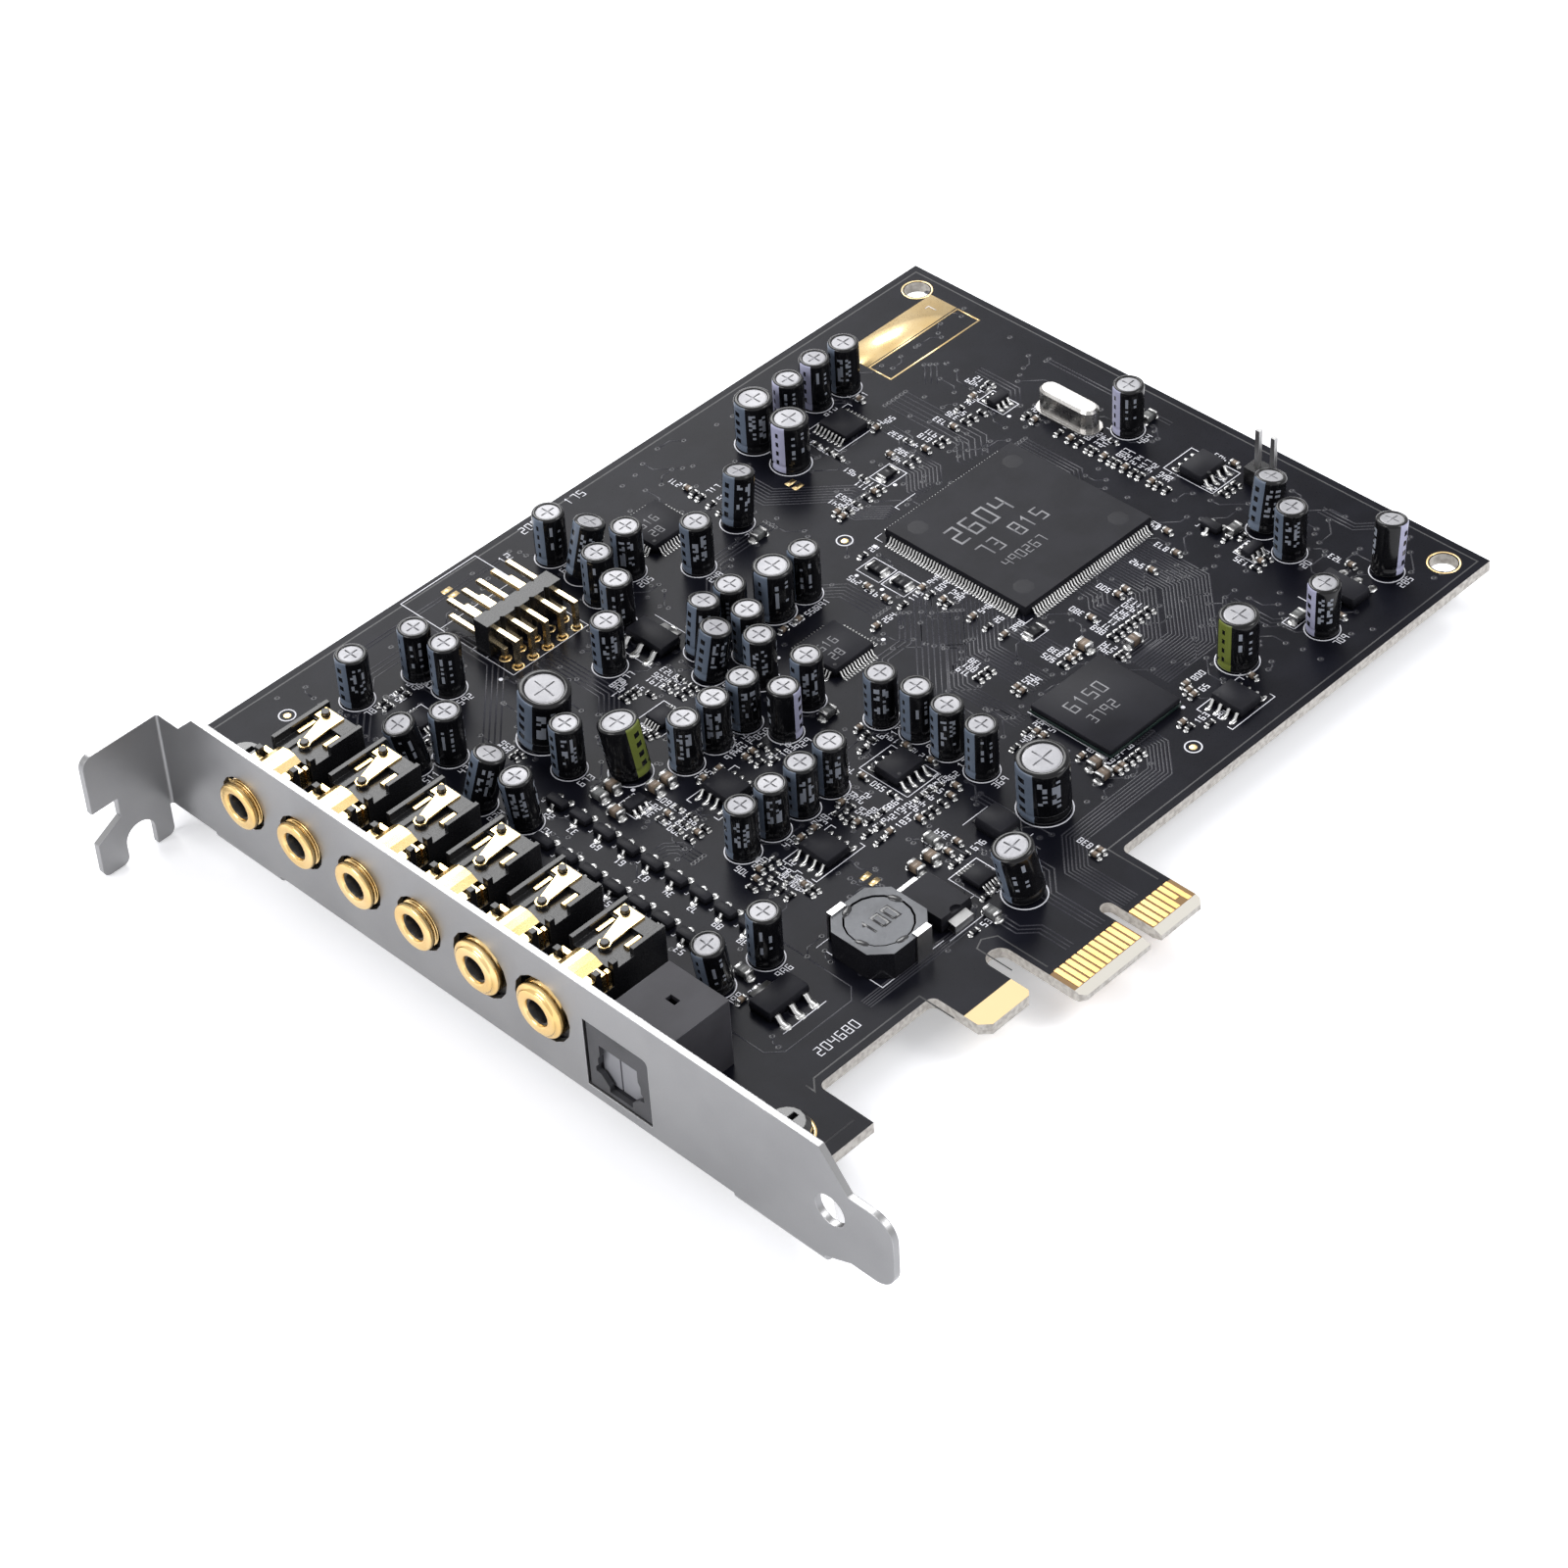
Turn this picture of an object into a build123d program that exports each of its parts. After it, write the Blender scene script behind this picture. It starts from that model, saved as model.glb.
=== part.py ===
# A PCI sound card: a circuit board with its folded steel bracket, six jack sockets, an
# optical socket, two headers and the parts soldered on the component side.
# Millimetres. X runs from the bracket's outer face into the board, Y runs along the bracket
# towards its bent tab, Z is up from the component side, which is z = 0.
from build123d import *
import math
import os

# Circuit board
board_thickness = 1.57
board_left = 1.6            # left edge, just behind the bracket plate
far_hole_x = 134.5          # the two plain mounting holes at the far end
low_hole_y = 11.7
high_hole_y = 101.8
far_hole_diameter = 3.6
hole_margin = 4.1           # from the hole centres to the board's edges
corner_y = -0.9             # the corner beside the bracket's lower flange
corner_reach = 16.9
foot_left = 35.6            # the bare foot beside the connector
foot_right = 43.5
foot_drop = 0.5             # how far the foot reaches below y = 0
foot_chamfer = 1.2
inner_corner_radius = 1.0

# Edge connector
connector_left = 46.87
connector_right = 67.97
connector_drop = 5.15
key_left = 58.52
key_width = 1.9
key_top = 3.1
bevel_length = 1.3
bevel_depth = 0.4
contact_pitch = 1.0
contact_width = 0.7
contact_length = 3.8
contact_thickness = 0.05
contacts_before_key = 11
contacts_after_key = 7
first_contact_inset = 1.08
contact_after_key_inset = 0.55

# Bracket sheet
sheet = 0.86
plate_low = -1.13
plate_high = 15.88
fold_y = 99.3
fold_radius = 0.35
notch_low = 12.9            # upper edge of the plate beside the fold
notch_end = 95.3
slant_start = -9.6
tongue_start = -13.6
tongue_end = -20.0
tongue_low = 0.6
tongue_high = 10.9
tongue_radius = 3.0
end_hole_diameter = 4.3
end_hole_y = -10.8
end_hole_z = 6.9

# Bent tab
tab_reach = 11.43
tab_low = -5.7
tab_corner_radius = 1.6
side_slot_depth = 3.83
side_slot_high = 4.55
side_slot_low = 1.6
side_slot_drop = 2.1
screw_slot_width = 4.42
screw_slot_x = 5.28         # distance of the slot's centre from the plate
screw_slot_top = -0.85
tab_edge_gap = 0.45
leg_radius = 1.0

# Flanges under the board
flange_reach = 2.5
upper_flange_low = 79.6
upper_flange_high = 91.2
lower_flange_low = -9.6
lower_flange_high = 4.0
ear_radius = 4.1
screw_x = 9.5
upper_screw_y = 96.6
lower_screw_y = 5.1
collar_diameter = 4.6
collar_height = 0.9

# Bracket screws
screw_radius = 1.47
screw_clearance = 0.03      # between the screw and the tapped collar
board_screw_clearance = 0.13
screw_head_radius = 2.75
screw_head_height = 1.9
screw_head_chamfer = 0.6
screw_reach = 1.6           # past the flange
thread_sides = 12           # threads and small round parts are many-sided, to keep faces few
head_sides = 16
cross_width = 0.75
cross_span = 3.0
cross_depth = 1.0

# Jack sockets
jack_count = 6
plain_jack_count = 2        # the last sockets have a plain bushing without a groove
first_jack_y = 84.4
jack_pitch = 10.22
jack_axis_z = 7.6
jack_front_gap = 0.14       # between the plate and the moulded housing
jack_length = 15.0
jack_half_width = 3.5
jack_top = 11.0
jack_wall = 0.6
jack_tower_x = 6.8          # from the housing's front to its raised rear part
jack_tray_z = 9.9
jack_ledge_z = 10.5
jack_ledge_length = 2.4
jack_left_wall_overhang = 0.5
jack_right_wall_length = 5.0
plug_radius = 2.0
plug_depth = 5.7
jack_post = 0.8
jack_post_x = 4.2
jack_ridge = (1.0, 1.85)     # the raised rib of the tray, between these distances from the middle
rivet_head = 0.3            # how far a rivet stands out
rivet_radius = 0.55
rivet_sides = 8
rivet_clearance = 0.05
rear_rivet = (1.2, 1.7)     # from the ledge's front, and from the middle
ring_rivet_x = 2.1          # from the raised part's front

# Bushings
bushing_bore = 3.6
turned_sides = 16           # outside faces; the bore itself is truly round
bushing_ring_radius = 3.1
bushing_ring_length = 0.8
bushing_stand_out = 1.07
bushing_groove_radius = 2.7
bushing_groove_length = 0.39
bushing_barrel_radius = 2.5
bushing_fit = 0.05
plain_bushing_radius = 3.6
plain_bushing_front_radius = 3.0
bushing_hole_gap = 0.5
plain_hole_gap = 0.75

# Jack springs
spring_sheet = 0.25
saddle_sheet = 0.3
saddle_gap = 0.5            # between the barrel and the saddle over it
saddle_half_angle = 38.0
saddle_length = 6.4
leaf_slope_drop = 0.35
leaf_ring_radius = 0.85
saddle_steps = 4
saddle_arm = 0.7
saddle_inset = 0.2
leaf_head_inset = 0.3
leaf_head_length = 1.8
leaf_head_side = 2.7        # how far the leaf's head reaches to the left wall
leaf_neck = 1.1

# Contacts in the tray: each between two distances from the middle, towards the left wall
contact_height = 0.45
contact_room = 0.15
tip_contact = (1.95, 2.5)
tip_contact_length = 2.6
ring_contact = (-2.45, -1.55)
ring_contact_length = 2.2
switch_contact = (-3.3, -2.6)
switch_contact_sheet = 0.5

# Optical socket
optical_y = 21.6
optical_width = 9.4
optical_height = 10.0
optical_back = 13.1
optical_wall = 0.8
optical_roof = 0.6
optical_front_gap = 0.1
window_width = 10.2
window_low = 0.25
window_above_roof = 0.5
window_corner_radius = 0.8
frame_side_gap = 0.3
frame_low_gap = 0.1
frame_top_gap = 0.4
frame_set_back = 0.25
opening_width = 6.0
opening_low = 1.7
opening_high = 7.5
opening_notches = ((0.0, 5.8), (0.35, 5.2), (0.35, 4.2), (0.8, 3.7), (0.8, 3.0), (0.0, 2.9))
opening_corner = 1.2
opening_step = 0.8
shutter_thickness = 0.8
shutter_gap = 0.3
shutter_low = 1.1
shutter_pivot_z = 8.4
shutter_knuckle_radius = 0.5
shutter_pin_radius = 0.4
shutter_pin_length = 0.5
shutter_pin_clearance = 0.06
emitter_length = 2.8
emitter_window_radius = 1.25
emitter_window_z = 4.6
optical_vent_x = 9.0
optical_vent_size = (0.95, 1.5)

# Two-row header
pin = 0.64
header_pitch = 2.5
header_columns = 5
header_first_x = 44.0
header_base_low = 88.8
header_base_high = 91.4
header_base_height = 5.0
header_tip_y = 97.5
header_upper_leg_y = 85.1
header_lower_leg_y = 87.5
header_upper_z = 3.95
header_lower_z = 1.4
header_missing_column = 3
header_notch = 0.4

# Two-pin header
jumper_x = 132.0
jumper_low_y = 37.3
jumper_pitch = 2.5
jumper_base = 2.5
jumper_pin_top = 8.5

# Chips
main_chip_x = 104.2
main_chip_y = 56.1
main_chip_side = 24.0
main_chip_top = 1.5
main_chip_leads_per_side = 44
main_chip_lead_pitch = 0.5
lead_thickness = 0.15
lead_foot = 0.5
thin_lead = 0.5             # leads narrower than this are plain wedges
chip_stand_off = 0.1
bridge_x = 85.4
bridge_y = 25.1
bridge_side = 13.0
bridge_carrier_height = 0.35
bridge_cover_side = 11.4
bridge_cover_height = 0.8
ball_radius = 0.25
ball_height = 0.3
ball_pitch = 1.27
codec_side = 7.0
codec_height = 1.4
codec_lead_reach = 1.0
codec_pitch = 0.5
codec_places = [(72.3, 56.9), (74.3, 90.4)]

# Each kind of small chip: length along its leads' row, width, leads a side, lead pitch,
# reach of the leads and height
small_chip_kinds = {
    "eight_leads": (4.9, 3.9, 4, 1.27, 1.05, 1.5),
    "sixteen_leads": (5.0, 4.4, 8, 0.65, 1.0, 1.0),
    "ten_leads": (3.0, 3.0, 5, 0.5, 0.95, 0.9),
}
small_chip_places = [
    ("eight_leads", 128.6, 46.1, 90.0),
    ("eight_leads", 97.0, 14.0, 0.0),
    ("eight_leads", 60.5, 36.0, 0.0),
    ("eight_leads", 44.5, 32.5, 0.0),
    ("eight_leads", 44.5, 49.0, 0.0),
    ("sixteen_leads", 105.3, 87.5, 0.0),
    ("ten_leads", 48.8, 64.5, 90.0),
    ("ten_leads", 53.0, 16.3, 90.0),
]

# Voltage regulators: x, y and the turn that points their tab
regulator_places = [(58.6, 75.6, 0.0), (22.9, 19.6, 180.0), (121.2, 15.5, 180.0)]
regulator_length = 6.5
regulator_width = 3.5
regulator_height = 1.6
regulator_lead_pitch = 2.3

# Rows of three-leg transistors behind the jacks
transistor_length = 2.9
transistor_width = 1.4
transistor_height = 1.0
outer_row_x = 29.3
inner_row_x = 23.6
transistor_pitch = 4.05
outer_row_count = 8
outer_row_first_y = 34.5
inner_row_count = 6
inner_row_first_y = 38.9
lone_transistors = [(122.0, 75.5), (120.7, 38.0)]

# Large diode
diode_x = 46.2
diode_y = 17.0
diode_length = 6.9
diode_width = 5.2
diode_height = 2.2
diode_end_width = 3.0
diode_end_reach = 1.2
diode_sheet = 0.25
diode_notch_radius = 0.8

# Shielded coil
coil_x = 37.6
coil_y = 17.6
coil_side = 10.0
coil_height = 4.0
coil_chamfer = 2.2
coil_core_radius = 4.0
coil_sides = 20
coil_gap = 0.25
coil_clip_width = 2.4
coil_clip_sheet = 0.25

# Crystal
crystal_from_right = 12.2
crystal_y = 67.0
crystal_length = 10.5
crystal_width = 4.0
crystal_height = 3.5
crystal_flange = 0.35
crystal_rim = 0.5           # how far the flange stands out round the can
crystal_end_steps = 6

# Can capacitors
small_can = (4.2, 7.5)
medium_can = (5.2, 7.5)
large_can = (6.6, 8.3)
can_sides = 12
# Each can: x, y, and how far its top leans in x and in y
signal_can_places = [
    (35, 66.5, 0, 0), (26.5, 95.5, 0, 0), (35, 93.5, 0, 0), (35.5, 88.5, 0, 0),
    (27, 79, 0, 0), (23, 81, -1.6, 0.2), (23.5, 70, 1.6, -1), (25, 63.5, -0.6, 0.4),
    (27.5, 26, 0, 0), (20.5, 27, -1.2, -0.2), (53.5, 40.5, 0, 0), (48.5, 40.5, 0, 0),
    (43.5, 40.5, 0, 0), (38.5, 40.5, 0, 0), (50, 56.5, 0, 0), (45, 56.5, 0, 0),
    (55, 56.5, 0, 0), (57, 51.5, 0, 0), (63, 53.5, 0, 0), (82, 84.5, 1.2, 0.4),
    (72.5, 82, 0, 0), (123.5, 27.5, 0, 0), (125, 33, 1.4, 0.2),
]
supply_can_places = [
    (112, 94, 0, 0), (107, 94.5, 0, 0), (101.5, 94, 0, 0), (61.5, 97.5, 0, 0),
    (61.5, 92, 2, -0.2), (60, 87, 0, 0), (66, 88, 0, 0), (58, 81.5, 0, 0),
    (51.5, 76.5, 0, 0), (77.5, 68, 0, 0), (61, 70, 1, 0), (58.5, 66, 0.8, -0.8),
    (66.5, 70, 0, 0), (64.5, 65, 0, 0), (62, 60.5, 0, 0), (66.5, 44.5, 0, 0),
    (67.5, 39.5, 0, 0), (67.5, 34.5, 0, 0), (67.5, 29, 0, 0), (129.5, 59.5, 0, 0),
    (128.5, 16, 1, 0.4), (114.5, 15, 0, 0),
]
medium_can_places = [
    (95.5, 94.5, 0, 0), (95.5, 88, 0, 0), (72.5, 68.5, 0, 0), (39.5, 60.5, -0.4, 1.2),
    (55, 11, -1.2, 0.8), (103, 19, 0, 0),
]
large_can_places = [(37, 73, -0.2, -1.2), (67.5, 19, -0.6, -0.2)]

# Larger chip parts: x, y and turn
ceramic_size = (3.2, 1.7, 1.5)
ceramic_places = [
    (49.4, 22.9, 90), (51.6, 22.9, 90), (91.9, 34.3, 0), (96.3, 30.2, 90), (76.1, 18.4, 0),
    (75.4, 15.8, 0), (34.5, 55.0, 90), (38.8, 54.8, 90), (41.2, 54.8, 90),
]
network_size = (3.2, 1.6, 0.6)
network_places = [(100.6, 75.2, 0), (85.4, 63.2, 0), (85.7, 58.9, 0)]
chip_inductor_size = (2.0, 1.3, 1.1)
chip_inductor_places = [
    (122.1, 35.0, 0), (49.7, 11.3, 90), (55.0, 21.2, 90), (72.5, 62.4, 0), (60.6, 21.0, 0),
]

# Values that follow from the sizes above
board_right = far_hole_x + hole_margin
board_top = high_hole_y + hole_margin
board_low = low_hole_y - hole_margin
board_under = -board_thickness
plate_inner = sheet
flange_under = board_under - sheet
jack_front = plate_inner + jack_front_gap
jack_back = jack_front + jack_length
optical_front = plate_inner + optical_front_gap
shutter_pivot_x = optical_front + shutter_gap + shutter_thickness / 2
window_high = optical_height + window_above_roof
crystal_x = board_right - crystal_from_right
jack_tower = jack_front + jack_tower_x
jack_ledge = jack_back - jack_ledge_length
ring_rivet = jack_tower + ring_rivet_x
jack_ys = [first_jack_y - jack_pitch * k for k in range(jack_count)]
grooved_jack_count = jack_count - plain_jack_count


def block(x0, x1, y0, y1, z0, z1):
    """A rectangular block between two opposite corners."""
    place = Pos((x0 + x1) / 2, (y0 + y1) / 2, (z0 + z1) / 2)
    return place * Box(abs(x1 - x0), abs(y1 - y0), abs(z1 - z0))


def outline(*points):
    """A flat face bounded by straight lines through the points."""
    return make_face(Polyline(*points, close=True))


def prism(points, low, high):
    """A straight-walled solid that stands on a plan outline."""
    return Pos(0, 0, low) * extrude(outline(*points), high - low)


def rod(radius, x, y, low, high):
    """An upright round rod or the tool for a hole."""
    return Pos(x, y, (low + high) / 2) * Cylinder(radius, high - low)


def many_sided(radius, sides, outside=False):
    """A regular polygon inside a circle of that radius, or outside it for a hole."""
    return RegularPolygon(radius, sides, major_radius=not outside)


def post(radius, sides, x, y, low, high, outside=False):
    """An upright many-sided post, or the tool for a many-sided hole."""
    return Pos(x, y, low) * extrude(many_sided(radius, sides, outside), high - low)


def along_x(face, start, end):
    """A solid that stands on a face in the YZ plane and runs along X."""
    return extrude(Plane.YZ.offset(start) * face, end - start)


def rounded_at(face, radius, *corners):
    """A face with the corners at the given points rounded."""
    def wanted(vertex):
        return any(abs(vertex.X - x) + abs(vertex.Y - y) < 0.02 for x, y in corners)
    return fillet([v for v in face.vertices() if wanted(v)], radius)


def edges_at(solid, axis, *places):
    """The straight edges along an axis that pass through the given points of the XYZ space."""
    def wanted(edge):
        start, across = edge @ 0.5, axis.direction
        return any((start - Vector(*place)).cross(across).length < 0.02 for place in places)
    return [edge for edge in solid.edges().filter_by(axis) if wanted(edge)]


def save(name, *shapes):
    """Write one node, either a single solid or a group of separate solids."""
    solids = [solid for shape in shapes for solid in shape.solids()]
    whole = solids[0] if len(solids) == 1 else Compound(solids)
    export_step(whole, "parts/" + name + ".step")
    print(name, len(solids), "solids", round(sum(s.volume for s in solids), 1), "mm3")


def board_face():
    """The board's outline with its connector tongue, key notch, foot and steps."""
    bevel_corner = bevel_length / 2
    face = outline(
        (board_left, corner_y), (corner_reach, corner_y), (corner_reach, board_low),
        (foot_left, board_low), (foot_left, foot_chamfer - foot_drop),
        (foot_left + foot_chamfer, -foot_drop), (foot_right - foot_chamfer / 2, -foot_drop),
        (foot_right, foot_chamfer / 2 - foot_drop), (foot_right, board_low),
        (connector_left, board_low), (connector_left, bevel_corner - connector_drop),
        (connector_left + bevel_corner, -connector_drop),
        (key_left, -connector_drop), (key_left, key_top), (key_left + key_width, key_top),
        (key_left + key_width, -connector_drop),
        (connector_right - bevel_corner, -connector_drop),
        (connector_right, bevel_corner - connector_drop), (connector_right, board_low),
        (board_right, board_low), (board_right, board_top), (board_left, board_top),
    )
    face = rounded_at(face, inner_corner_radius, (corner_reach, board_low),
                      (foot_left, board_low), (connector_right, board_low))
    slot = connector_left - foot_right
    face = rounded_at(face, slot * 0.49, (foot_right, board_low), (connector_left, board_low))
    key_ends = [(key_left, key_top), (key_left + key_width, key_top)]
    return rounded_at(face, key_width * 0.49, *key_ends)


def circuit_board():
    """The fibreglass board: drilled, routed and bevelled along the connector's tip."""
    board = Pos(0, 0, board_under) * extrude(board_face(), board_thickness)
    for y in (low_hole_y, high_hole_y):
        board -= rod(far_hole_diameter / 2, far_hole_x, y, board_under - 1, 1)
    for y in (lower_screw_y, upper_screw_y):
        hole = screw_radius + board_screw_clearance
        board -= post(hole, thread_sides, screw_x, y, board_under - 1, 1, outside=True)
    tip = -connector_drop
    for face_z, inward in ((0, -1), (board_under, 1)):
        wedge = Plane.YZ * outline((tip - 1, face_z - inward), (tip - 1, face_z + inward * bevel_depth),
                                   (tip, face_z + inward * bevel_depth),
                                   (tip + bevel_length, face_z), (tip + bevel_length, face_z - inward))
        length = connector_right - connector_left + 2
        board -= Pos(connector_left - 1, 0, 0) * extrude(wedge, length)
    return board


def contact_xs():
    """The middle of each gold contact, before and after the key notch."""
    first = connector_left + first_contact_inset
    after = key_left + key_width + contact_after_key_inset
    before_key = [first + contact_pitch * k for k in range(contacts_before_key)]
    after_key = [after + contact_pitch * k for k in range(contacts_after_key)]
    return before_key + after_key


def edge_contacts():
    """Gold contacts plated on both faces. The last but one is shorter, to mate later."""
    contacts = []
    xs = contact_xs()
    for number, x in enumerate(xs):
        reach = contact_length * (0.72 if number == len(xs) - 2 else 1.0)
        for low in (0, board_under - contact_thickness):
            contacts.append(block(x - contact_width / 2, x + contact_width / 2, -reach, 0,
                                  low, low + contact_thickness))
    return contacts


def plate_face():
    """The plate's outline, drawn along the bracket and upwards, with its windows."""
    slope = plate_high - notch_low
    face = outline(
        (fold_y, plate_low), (fold_y, notch_low), (notch_end, notch_low),
        (notch_end - slope, plate_high), (slant_start, plate_high),
        (tongue_start, tongue_high), (tongue_end, tongue_high), (tongue_end, tongue_low),
        (tongue_start, tongue_low), (slant_start, plate_low),
    )
    face = rounded_at(face, tongue_radius, (tongue_end, tongue_high), (tongue_end, tongue_low))
    face -= Pos(end_hole_y, end_hole_z) * Circle(end_hole_diameter / 2)
    for number, y in enumerate(jack_ys):
        grooved = number < grooved_jack_count
        radius = bushing_ring_radius + bushing_hole_gap
        if not grooved:
            radius = plain_bushing_radius + plain_hole_gap
        face -= Pos(y, jack_axis_z) * many_sided(radius, turned_sides, outside=True)
    low, high = optical_y - window_width / 2, optical_y + window_width / 2
    window = outline((low, window_low), (high, window_low), (high, window_high), (low, window_high))
    return face - rounded_at(window, window_corner_radius, (low, window_high))


def tab_face():
    """The bent tab seen along the bracket: x leftwards is negative, height is upwards."""
    left = -tab_reach
    slot_left = -screw_slot_x - screw_slot_width / 2
    slot_right = -screw_slot_x + screw_slot_width / 2
    slot_end = left + side_slot_depth
    face = outline(
        (sheet, plate_low), (sheet, notch_low), (left, notch_low), (left, side_slot_high),
        (slot_end, side_slot_high), (slot_end, side_slot_low),
        (left, side_slot_low - side_slot_drop), (left, tab_low), (slot_left, tab_low),
        (slot_left, screw_slot_top), (slot_right, screw_slot_top), (slot_right, tab_low),
        (-tab_edge_gap, tab_low), (-tab_edge_gap, plate_low),
    )
    face = rounded_at(face, tab_corner_radius, (left, notch_low))
    face = rounded_at(face, leg_radius, (left, tab_low), (slot_left, tab_low), (-tab_edge_gap, tab_low))
    return rounded_at(face, screw_slot_width * 0.49, (slot_left, screw_slot_top),
                      (slot_right, screw_slot_top))


def flange(low, high, screw_y):
    """A flange bent under the board, with an ear round the screw and its drawn collar."""
    bend = plate_inner + fold_radius
    strip = outline((bend, low), (flange_reach, low), (flange_reach, high), (bend, high))
    ear = Pos(screw_x, screw_y) * many_sided(ear_radius, turned_sides)
    leaf = Pos(0, 0, flange_under) * extrude(make_hull(strip.edges() + ear.edges()), sheet)
    leaf += block(0, flange_reach, low, high, flange_under, board_under)
    leaf += block(0, plate_inner, low, high, board_under, plate_low)
    leaf += post(collar_diameter / 2, head_sides, screw_x, screw_y, flange_under - collar_height,
                 board_under)
    thread = screw_radius + screw_clearance
    return leaf - post(thread, thread_sides, screw_x, screw_y, flange_under - 2 * collar_height, 1,
                       outside=True)


def bracket():
    """One sheet: the plate, the tab bent off its top end and two flanges bent under the board."""
    part = extrude(Plane.YZ * plate_face(), sheet)
    part += extrude(Plane.XZ.offset(-fold_y) * tab_face(), -sheet)
    part = fillet(edges_at(part, Axis.Z, (0, fold_y, 0)), fold_radius)
    part = fillet(edges_at(part, Axis.Z, (sheet, fold_y + sheet, 0)), fold_radius + sheet)
    part += flange(upper_flange_low, upper_flange_high, upper_screw_y)
    part += flange(lower_flange_low, lower_flange_high, lower_screw_y)
    return fillet(edges_at(part, Axis.Y, (0, 0, flange_under)), fold_radius + sheet)


def bracket_screw(y):
    """A cross-head machine screw through the board into the bracket's collar."""
    head = post(screw_head_radius, head_sides, 0, 0, 0, screw_head_height)
    head = chamfer(head.edges().group_by(Axis.Z)[-1], screw_head_chamfer)
    shank = post(screw_radius, thread_sides, 0, 0, flange_under - screw_reach, 0)
    cross = Box(cross_span, cross_width, 2 * cross_depth) + Box(cross_width, cross_span, 2 * cross_depth)
    return Pos(screw_x, y, 0) * (head + shank - Pos(0, 0, screw_head_height) * cross)


def jack_housing():
    """One moulded socket housing about y = 0: a trough for the bushing's barrel, a raised
    rear part with a sunk tray for the springs, side walls, posts and heat-formed rivets."""
    half = jack_half_width
    body = block(jack_front, jack_back, -half, half, 0, jack_axis_z)
    body += block(jack_tower, jack_back, -half, half, jack_axis_z, jack_tray_z)
    body += block(jack_ledge, jack_back, -half, half, jack_tray_z, jack_ledge_z)
    body += block(jack_tower, jack_back + jack_left_wall_overhang, half - jack_wall, half,
                  0, jack_top)
    body += block(jack_back - jack_right_wall_length, jack_back, -half, jack_wall - half,
                  jack_tray_z, jack_top)
    low, high = jack_ridge
    body += block(jack_tower, jack_ledge, low, high, jack_tray_z, jack_ledge_z - leaf_slope_drop)
    axis = Pos(0, jack_axis_z)
    trough = axis * many_sided(bushing_barrel_radius + bushing_fit, turned_sides, outside=True)
    body -= along_x(trough, jack_front - 1, jack_tower)
    plug = axis * many_sided(plug_radius, thread_sides, outside=True)
    body -= along_x(plug, jack_front - 1, jack_tower + plug_depth)
    for side in (-1, 1):
        outer, inner = side * half, side * (half - jack_post)
        body += block(jack_front + jack_post_x, jack_front + jack_post_x + jack_post,
                      min(outer, inner), max(outer, inner), jack_axis_z, jack_top)
    body += block(jack_tower, jack_tower + jack_post, -half, jack_post - half, jack_tray_z, jack_top)
    x, y = rear_rivet
    body += post(rivet_radius, rivet_sides, jack_ledge + x, y, jack_ledge_z, jack_top + rivet_head)
    body += post(rivet_radius, rivet_sides, ring_rivet, 0, jack_tray_z, jack_ledge_z + rivet_head)
    return body


def bushing(*steps):
    """A turned bushing along X: steps of (start, end, radius) round one true bore."""
    start, end = steps[0][0], steps[-1][1]
    turned = [along_x(many_sided(radius, turned_sides), x0, x1) for x0, x1, radius in steps]
    whole = turned[0]
    for step in turned[1:]:
        whole += step
    return whole - along_x(Circle(bushing_bore / 2), start - 1, end + 1)


def grooved_bushing():
    """Ring, groove, collar and barrel."""
    front = -bushing_stand_out
    ring_back = front + bushing_ring_length
    groove_back = ring_back + bushing_groove_length
    return bushing((front, ring_back, bushing_ring_radius),
                   (ring_back, groove_back, bushing_groove_radius),
                   (groove_back, jack_front, bushing_ring_radius),
                   (jack_front, jack_tower, bushing_barrel_radius))


def plain_bushing():
    """The bushing of the last sockets: a narrower front step, a smooth sleeve and the barrel."""
    front = -bushing_stand_out
    shoulder = front + bushing_ring_length / 2
    return bushing((front, shoulder, plain_bushing_front_radius),
                   (shoulder, jack_front, plain_bushing_radius),
                   (jack_front, jack_tower, bushing_barrel_radius))


def jack_leaf():
    """The leaf spring: a flat head on the ledge, a neck that slopes down to a ring."""
    head = jack_ledge + leaf_head_inset
    narrow = leaf_neck / 2
    plan = outline((head, -narrow), (head + leaf_head_length, -narrow),
                   (head + leaf_head_length, leaf_head_side), (head, leaf_head_side),
                   (head, leaf_head_side - 1), (ring_rivet, narrow), (ring_rivet, -narrow))
    plan += Pos(ring_rivet, 0) * many_sided(leaf_ring_radius, rivet_sides)
    hole = many_sided(rivet_radius + rivet_clearance, rivet_sides, outside=True)
    plan -= Pos(ring_rivet, 0) * hole
    plan -= Pos(jack_ledge + rear_rivet[0], rear_rivet[1]) * hole
    low, drop = jack_ledge_z, jack_ledge_z - leaf_slope_drop
    front, back = ring_rivet - 2 * leaf_ring_radius, jack_back
    side = outline((back, low), (jack_ledge, low), (front, drop), (front, drop + spring_sheet),
                   (jack_ledge, low + spring_sheet), (back, low + spring_sheet))
    slab = Pos(0, jack_half_width, 0) * extrude(Plane.XZ * side, 2 * jack_half_width)
    return extrude(plan, jack_top + 2) & slab


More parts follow.
